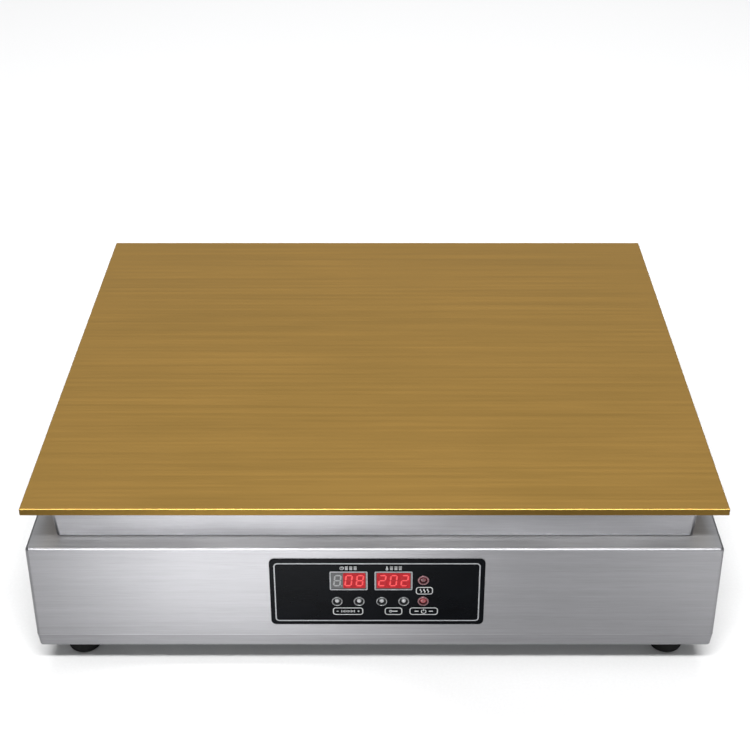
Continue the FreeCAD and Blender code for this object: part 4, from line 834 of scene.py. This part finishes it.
def band_bead(look):
    """Fine bead all round the body, where the bottom band folds in."""
    low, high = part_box("body_shell")
    bead_z = low.z + BAND_HEIGHT
    middle = ((low.x + high.x) / 2, (SHELL_FRONT + SHELL_BACK) / 2)
    section = [(-BEAD_ROOT, -BEAD_HEIGHT / 2), (BEAD_RISE, 0.0), (-BEAD_ROOT, BEAD_HEIGHT / 2)]
    mesh = bmesh.new()
    rings = []
    for out, up in section:
        outline = rounded_outline(middle, high.x - low.x + 2 * out, SHELL_BACK - SHELL_FRONT + 2 * out,
                                  SHELL_CORNER + out)
        rings.append([mesh.verts.new((x, y, bead_z + up)) for x, y in outline])
    for lower, upper in zip(rings, rings[1:] + rings[:1]):
        for here in range(len(lower)):
            after = (here + 1) % len(lower)
            mesh.faces.new((lower[here], lower[after], upper[after], upper[here]))
    new_piece("band_bead", mesh, look, "griddle")


# ---------------------------------------------------------------- digits

def segment_outlines(centre_x, centre_z):
    """The seven hexagonal bars of one digit, in the order of SEGMENTS_LIT."""
    side = DIGIT_WIDTH / 2 - SEGMENT_WIDTH / 2
    top = DIGIT_HEIGHT / 2 - SEGMENT_WIDTH / 2
    corners = {"top_left": (-side, top), "top_right": (side, top),
               "left": (-side, 0.0), "right": (side, 0.0),
               "low_left": (-side, -top), "low_right": (side, -top)}
    runs = [("top_left", "top_right"), ("top_right", "right"), ("right", "low_right"),
            ("low_left", "low_right"), ("left", "low_left"), ("top_left", "left"), ("left", "right")]
    outlines = []
    for first, second in runs:
        start, end = Vector(corners[first]), Vector(corners[second])
        along = (end - start).normalized()
        across = Vector((-along.y, along.x)) * SEGMENT_WIDTH / 2
        shoulder = along * SEGMENT_WIDTH / 2
        start = start + along * SEGMENT_GAP / 2
        end = end - along * SEGMENT_GAP / 2
        shape = [start, start + shoulder + across, end - shoulder + across, end,
                 end - shoulder - across, start + shoulder - across]
        outlines.append([(centre_x + p.x + p.y * DIGIT_SLANT, centre_z + p.y) for p in shape])
    return outlines


def display_digits(name, text, looks, glow):
    """Segments of a three-digit display, and the glowing face behind the lit ones."""
    low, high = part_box("display_" + name)
    face = low.y
    place = DISPLAYS[name]
    meshes = {kind: bmesh.new() for kind in looks}
    lit_columns = []
    for column, figure in enumerate(text):
        centre_x = place.x + (column - 1) * DIGIT_PITCH
        if figure != " ":
            lit_columns.append(centre_x)
        dark_kind = "unlit" if figure == " " else "flooded"
        for on, outline in zip(SEGMENTS_LIT[figure], segment_outlines(centre_x, place.z)):
            mesh = meshes["lit" if on == "1" else dark_kind]
            add_bar(mesh, outline, face, face - SEGMENT_RISE, SEGMENT_BEVEL)
        point_at = (centre_x + DIGIT_WIDTH / 2 + POINT_OUT, place.z - DIGIT_HEIGHT / 2 + POINT_UP)
        point = arc(point_at, POINT_RADIUS, 0, 337.5, 15)
        add_bar(meshes[dark_kind], point, face, face - SEGMENT_RISE, SEGMENT_BEVEL)
    for kind, mesh in meshes.items():
        if mesh.faces:
            new_piece("digits_" + kind + "_" + name, mesh, looks[kind], "griddle")
        else:
            mesh.free()
    left = min(lit_columns) - DIGIT_PITCH / 2
    right = max(lit_columns) + DIGIT_PITCH / 2
    backing = bmesh.new()
    centre = ((left + right) / 2, place.z)
    outline = rounded_outline(centre, right - left, high.z - low.z - GLOW_MARGIN, GLOW_CORNER)
    add_bar(backing, outline, face, face - GLOW_RISE, GLOW_BEVEL)
    new_piece("display_glow_" + name, backing, glow, "griddle")


# ---------------------------------------------------------------- marks on the rear rocker

def rocker_marks(ink):
    """A bar on one half of the rocker for on, and a ring on the other for off, lying on its two faces."""
    pivot = Vector(next(joint["pos_m"] for joint in frame["joints"] if joint["name"] == "rocker_tip"))
    face_reach = math.sqrt(ROCKER_RADIUS ** 2 - ROCKER_RISE ** 2)
    slope = math.atan2(ROCKER_RISE - ROCKER_VALLEY, face_reach)
    face_out = ROCKER_VALLEY + ROCKER_MARK_PLACE * math.tan(slope)
    size = ROCKER_MARK / 4
    bar = [(0.0, -size), (0.0, size)]
    ring = arc((0.0, 0.0), size, 0, 360, 24)
    turn_round = Matrix.Rotation(math.pi, 4, "Z")
    rest = Matrix.Rotation(math.radians(ROCKER_REST_TILT), 4, "X")
    to_switch = Matrix.Translation(pivot)
    for name, side, path, line in (("on", 1, bar, ROCKER_BAR_LINE), ("off", -1, ring, ROCKER_RING_LINE)):
        mesh = bmesh.new()
        add_line(mesh, path, line)
        tip = Matrix.Rotation(-side * slope, 4, "X")
        out = Matrix.Translation((0.0, face_out, side * ROCKER_MARK_PLACE))
        bmesh.ops.transform(mesh, matrix=to_switch @ rest @ out @ tip @ turn_round, verts=mesh.verts)
        new_piece("print_rocker_" + name, mesh, ink, "rocker")


# ---------------------------------------------------------------- stage, light and camera

FLOOR_REACH = 6.0               # from its middle to each side
CAMERA_PLACE = (0.00673, -0.98316, 0.67593)
CAMERA_TILT = 60.17             # degrees up from straight down
FOCAL_LENGTH = 72.3             # mm on a sensor 36 mm wide
SENSOR_WIDTH = 36.0
SIDE_SHIFT = -0.0135            # puts the object as far from the middle as its framing needs


def floor():
    """Plain pale floor, large enough for every view."""
    mesh = bmesh.new()
    bmesh.ops.create_grid(mesh, x_segments=8, y_segments=8, size=FLOOR_REACH)
    data = bpy.data.meshes.new("floor")
    mesh.to_mesh(data)
    mesh.free()
    look = Look("pale floor", (0.62, 0.62, 0.62), 0.6)
    paper = look.noise((2.0, 2.0, 2.0), 2.0, 0.5)
    look.set("Base Color", look.blend(look.spread(paper, 0.0, 1.0), (0.61, 0.61, 0.61), (0.63, 0.63, 0.63)))
    look.set("Specular IOR Level", 0.1)
    data.materials.append(look.material)
    plane = bpy.data.objects.new("floor", data)
    bpy.context.scene.collection.objects.link(plane)


def area_light(name, place, target, width, height, power):
    """Soft rectangular light aimed at target, power in watts."""
    light = bpy.data.lights.new(name, "AREA")
    light.shape = "RECTANGLE"
    light.size = width
    light.size_y = height
    light.energy = power
    lamp_object = bpy.data.objects.new(name, light)
    lamp_object.location = place
    lamp_object.rotation_euler = (Vector(target) - Vector(place)).to_track_quat("-Z", "Y").to_euler()
    bpy.context.scene.collection.objects.link(lamp_object)
    return lamp_object


def spot_light(name, place, cone, power):
    """Soft-edged pool of light on the floor below."""
    light = bpy.data.lights.new(name, "SPOT")
    light.spot_size = math.radians(cone)
    light.spot_blend = 1.0
    light.shadow_soft_size = 0.05
    light.energy = power
    lamp_object = bpy.data.objects.new(name, light)
    lamp_object.location = place
    bpy.context.scene.collection.objects.link(lamp_object)


def studio_light():
    """Long soft lights high in front and behind, pools of light on the floor, and a pale surround."""
    world = bpy.data.worlds.new("studio")
    world.use_nodes = True
    surround = world.node_tree.nodes["Background"]
    surround.inputs["Color"].default_value = (0.97, 0.98, 1.0, 1.0)
    surround.inputs["Strength"].default_value = 0.42
    bpy.context.scene.world = world
    area_light("key", (0.0, -1.46, 2.29), (0.0, -0.1, 0.05), 2.0, 0.30, 100.0)
    back_light = area_light("back light", (0.0, 1.5, 3.0), (0.0, 1.5, 0.0), 3.0, 1.2, 80.0)
    back_light.visible_glossy = False
    area_light("front strip", (-0.34, -2.1, 0.60), (-0.08, -0.2, 0.05), 0.40, 1.1, 7.0)
    spot_light("left pool", (-0.098, -0.40, 1.3), 17.0, 410.0)
    spot_light("right pool", (0.34, -0.40, 1.3), 17.0, 135.0)


def camera():
    """Looks along +Y and down on the griddle."""
    data = bpy.data.cameras.new("camera")
    data.lens = FOCAL_LENGTH
    data.sensor_width = SENSOR_WIDTH
    data.shift_x = SIDE_SHIFT
    data.clip_start = 0.01
    view = bpy.data.objects.new("camera", data)
    view.location = CAMERA_PLACE
    view.rotation_euler = (math.radians(CAMERA_TILT), 0.0, 0.0)
    bpy.context.scene.collection.objects.link(view)
    bpy.context.scene.camera = view


# ---------------------------------------------------------------- everything together

finish_cad_nodes(slot_looks())

line_ink = silver_ink("silver ink", (0.155, 0.16, 0.17), (0.22, 0.225, 0.235))
mark_ink = silver_ink("pale ink", (0.24, 0.245, 0.25), (0.34, 0.345, 0.35))
print_border(line_ink)
print_window_frames(line_ink)
print_labels(mark_ink)
print_captions(mark_ink)

segment_looks = {"lit": lit_segment(), "unlit": dark_segment(), "flooded": flooded_segment()}
glow_look = glowing_face()
display_digits("time", " 08", segment_looks, glow_look)
display_digits("temperature", "202", segment_looks, glow_look)
collar_rims(bright_rim())
band_bead(brushed_steel())
rocker_marks(silver_ink("white ink", (0.62, 0.62, 0.62), (0.75, 0.75, 0.75)))

floor()
studio_light()
camera()
bpy.context.scene.view_settings.view_transform = "Standard"
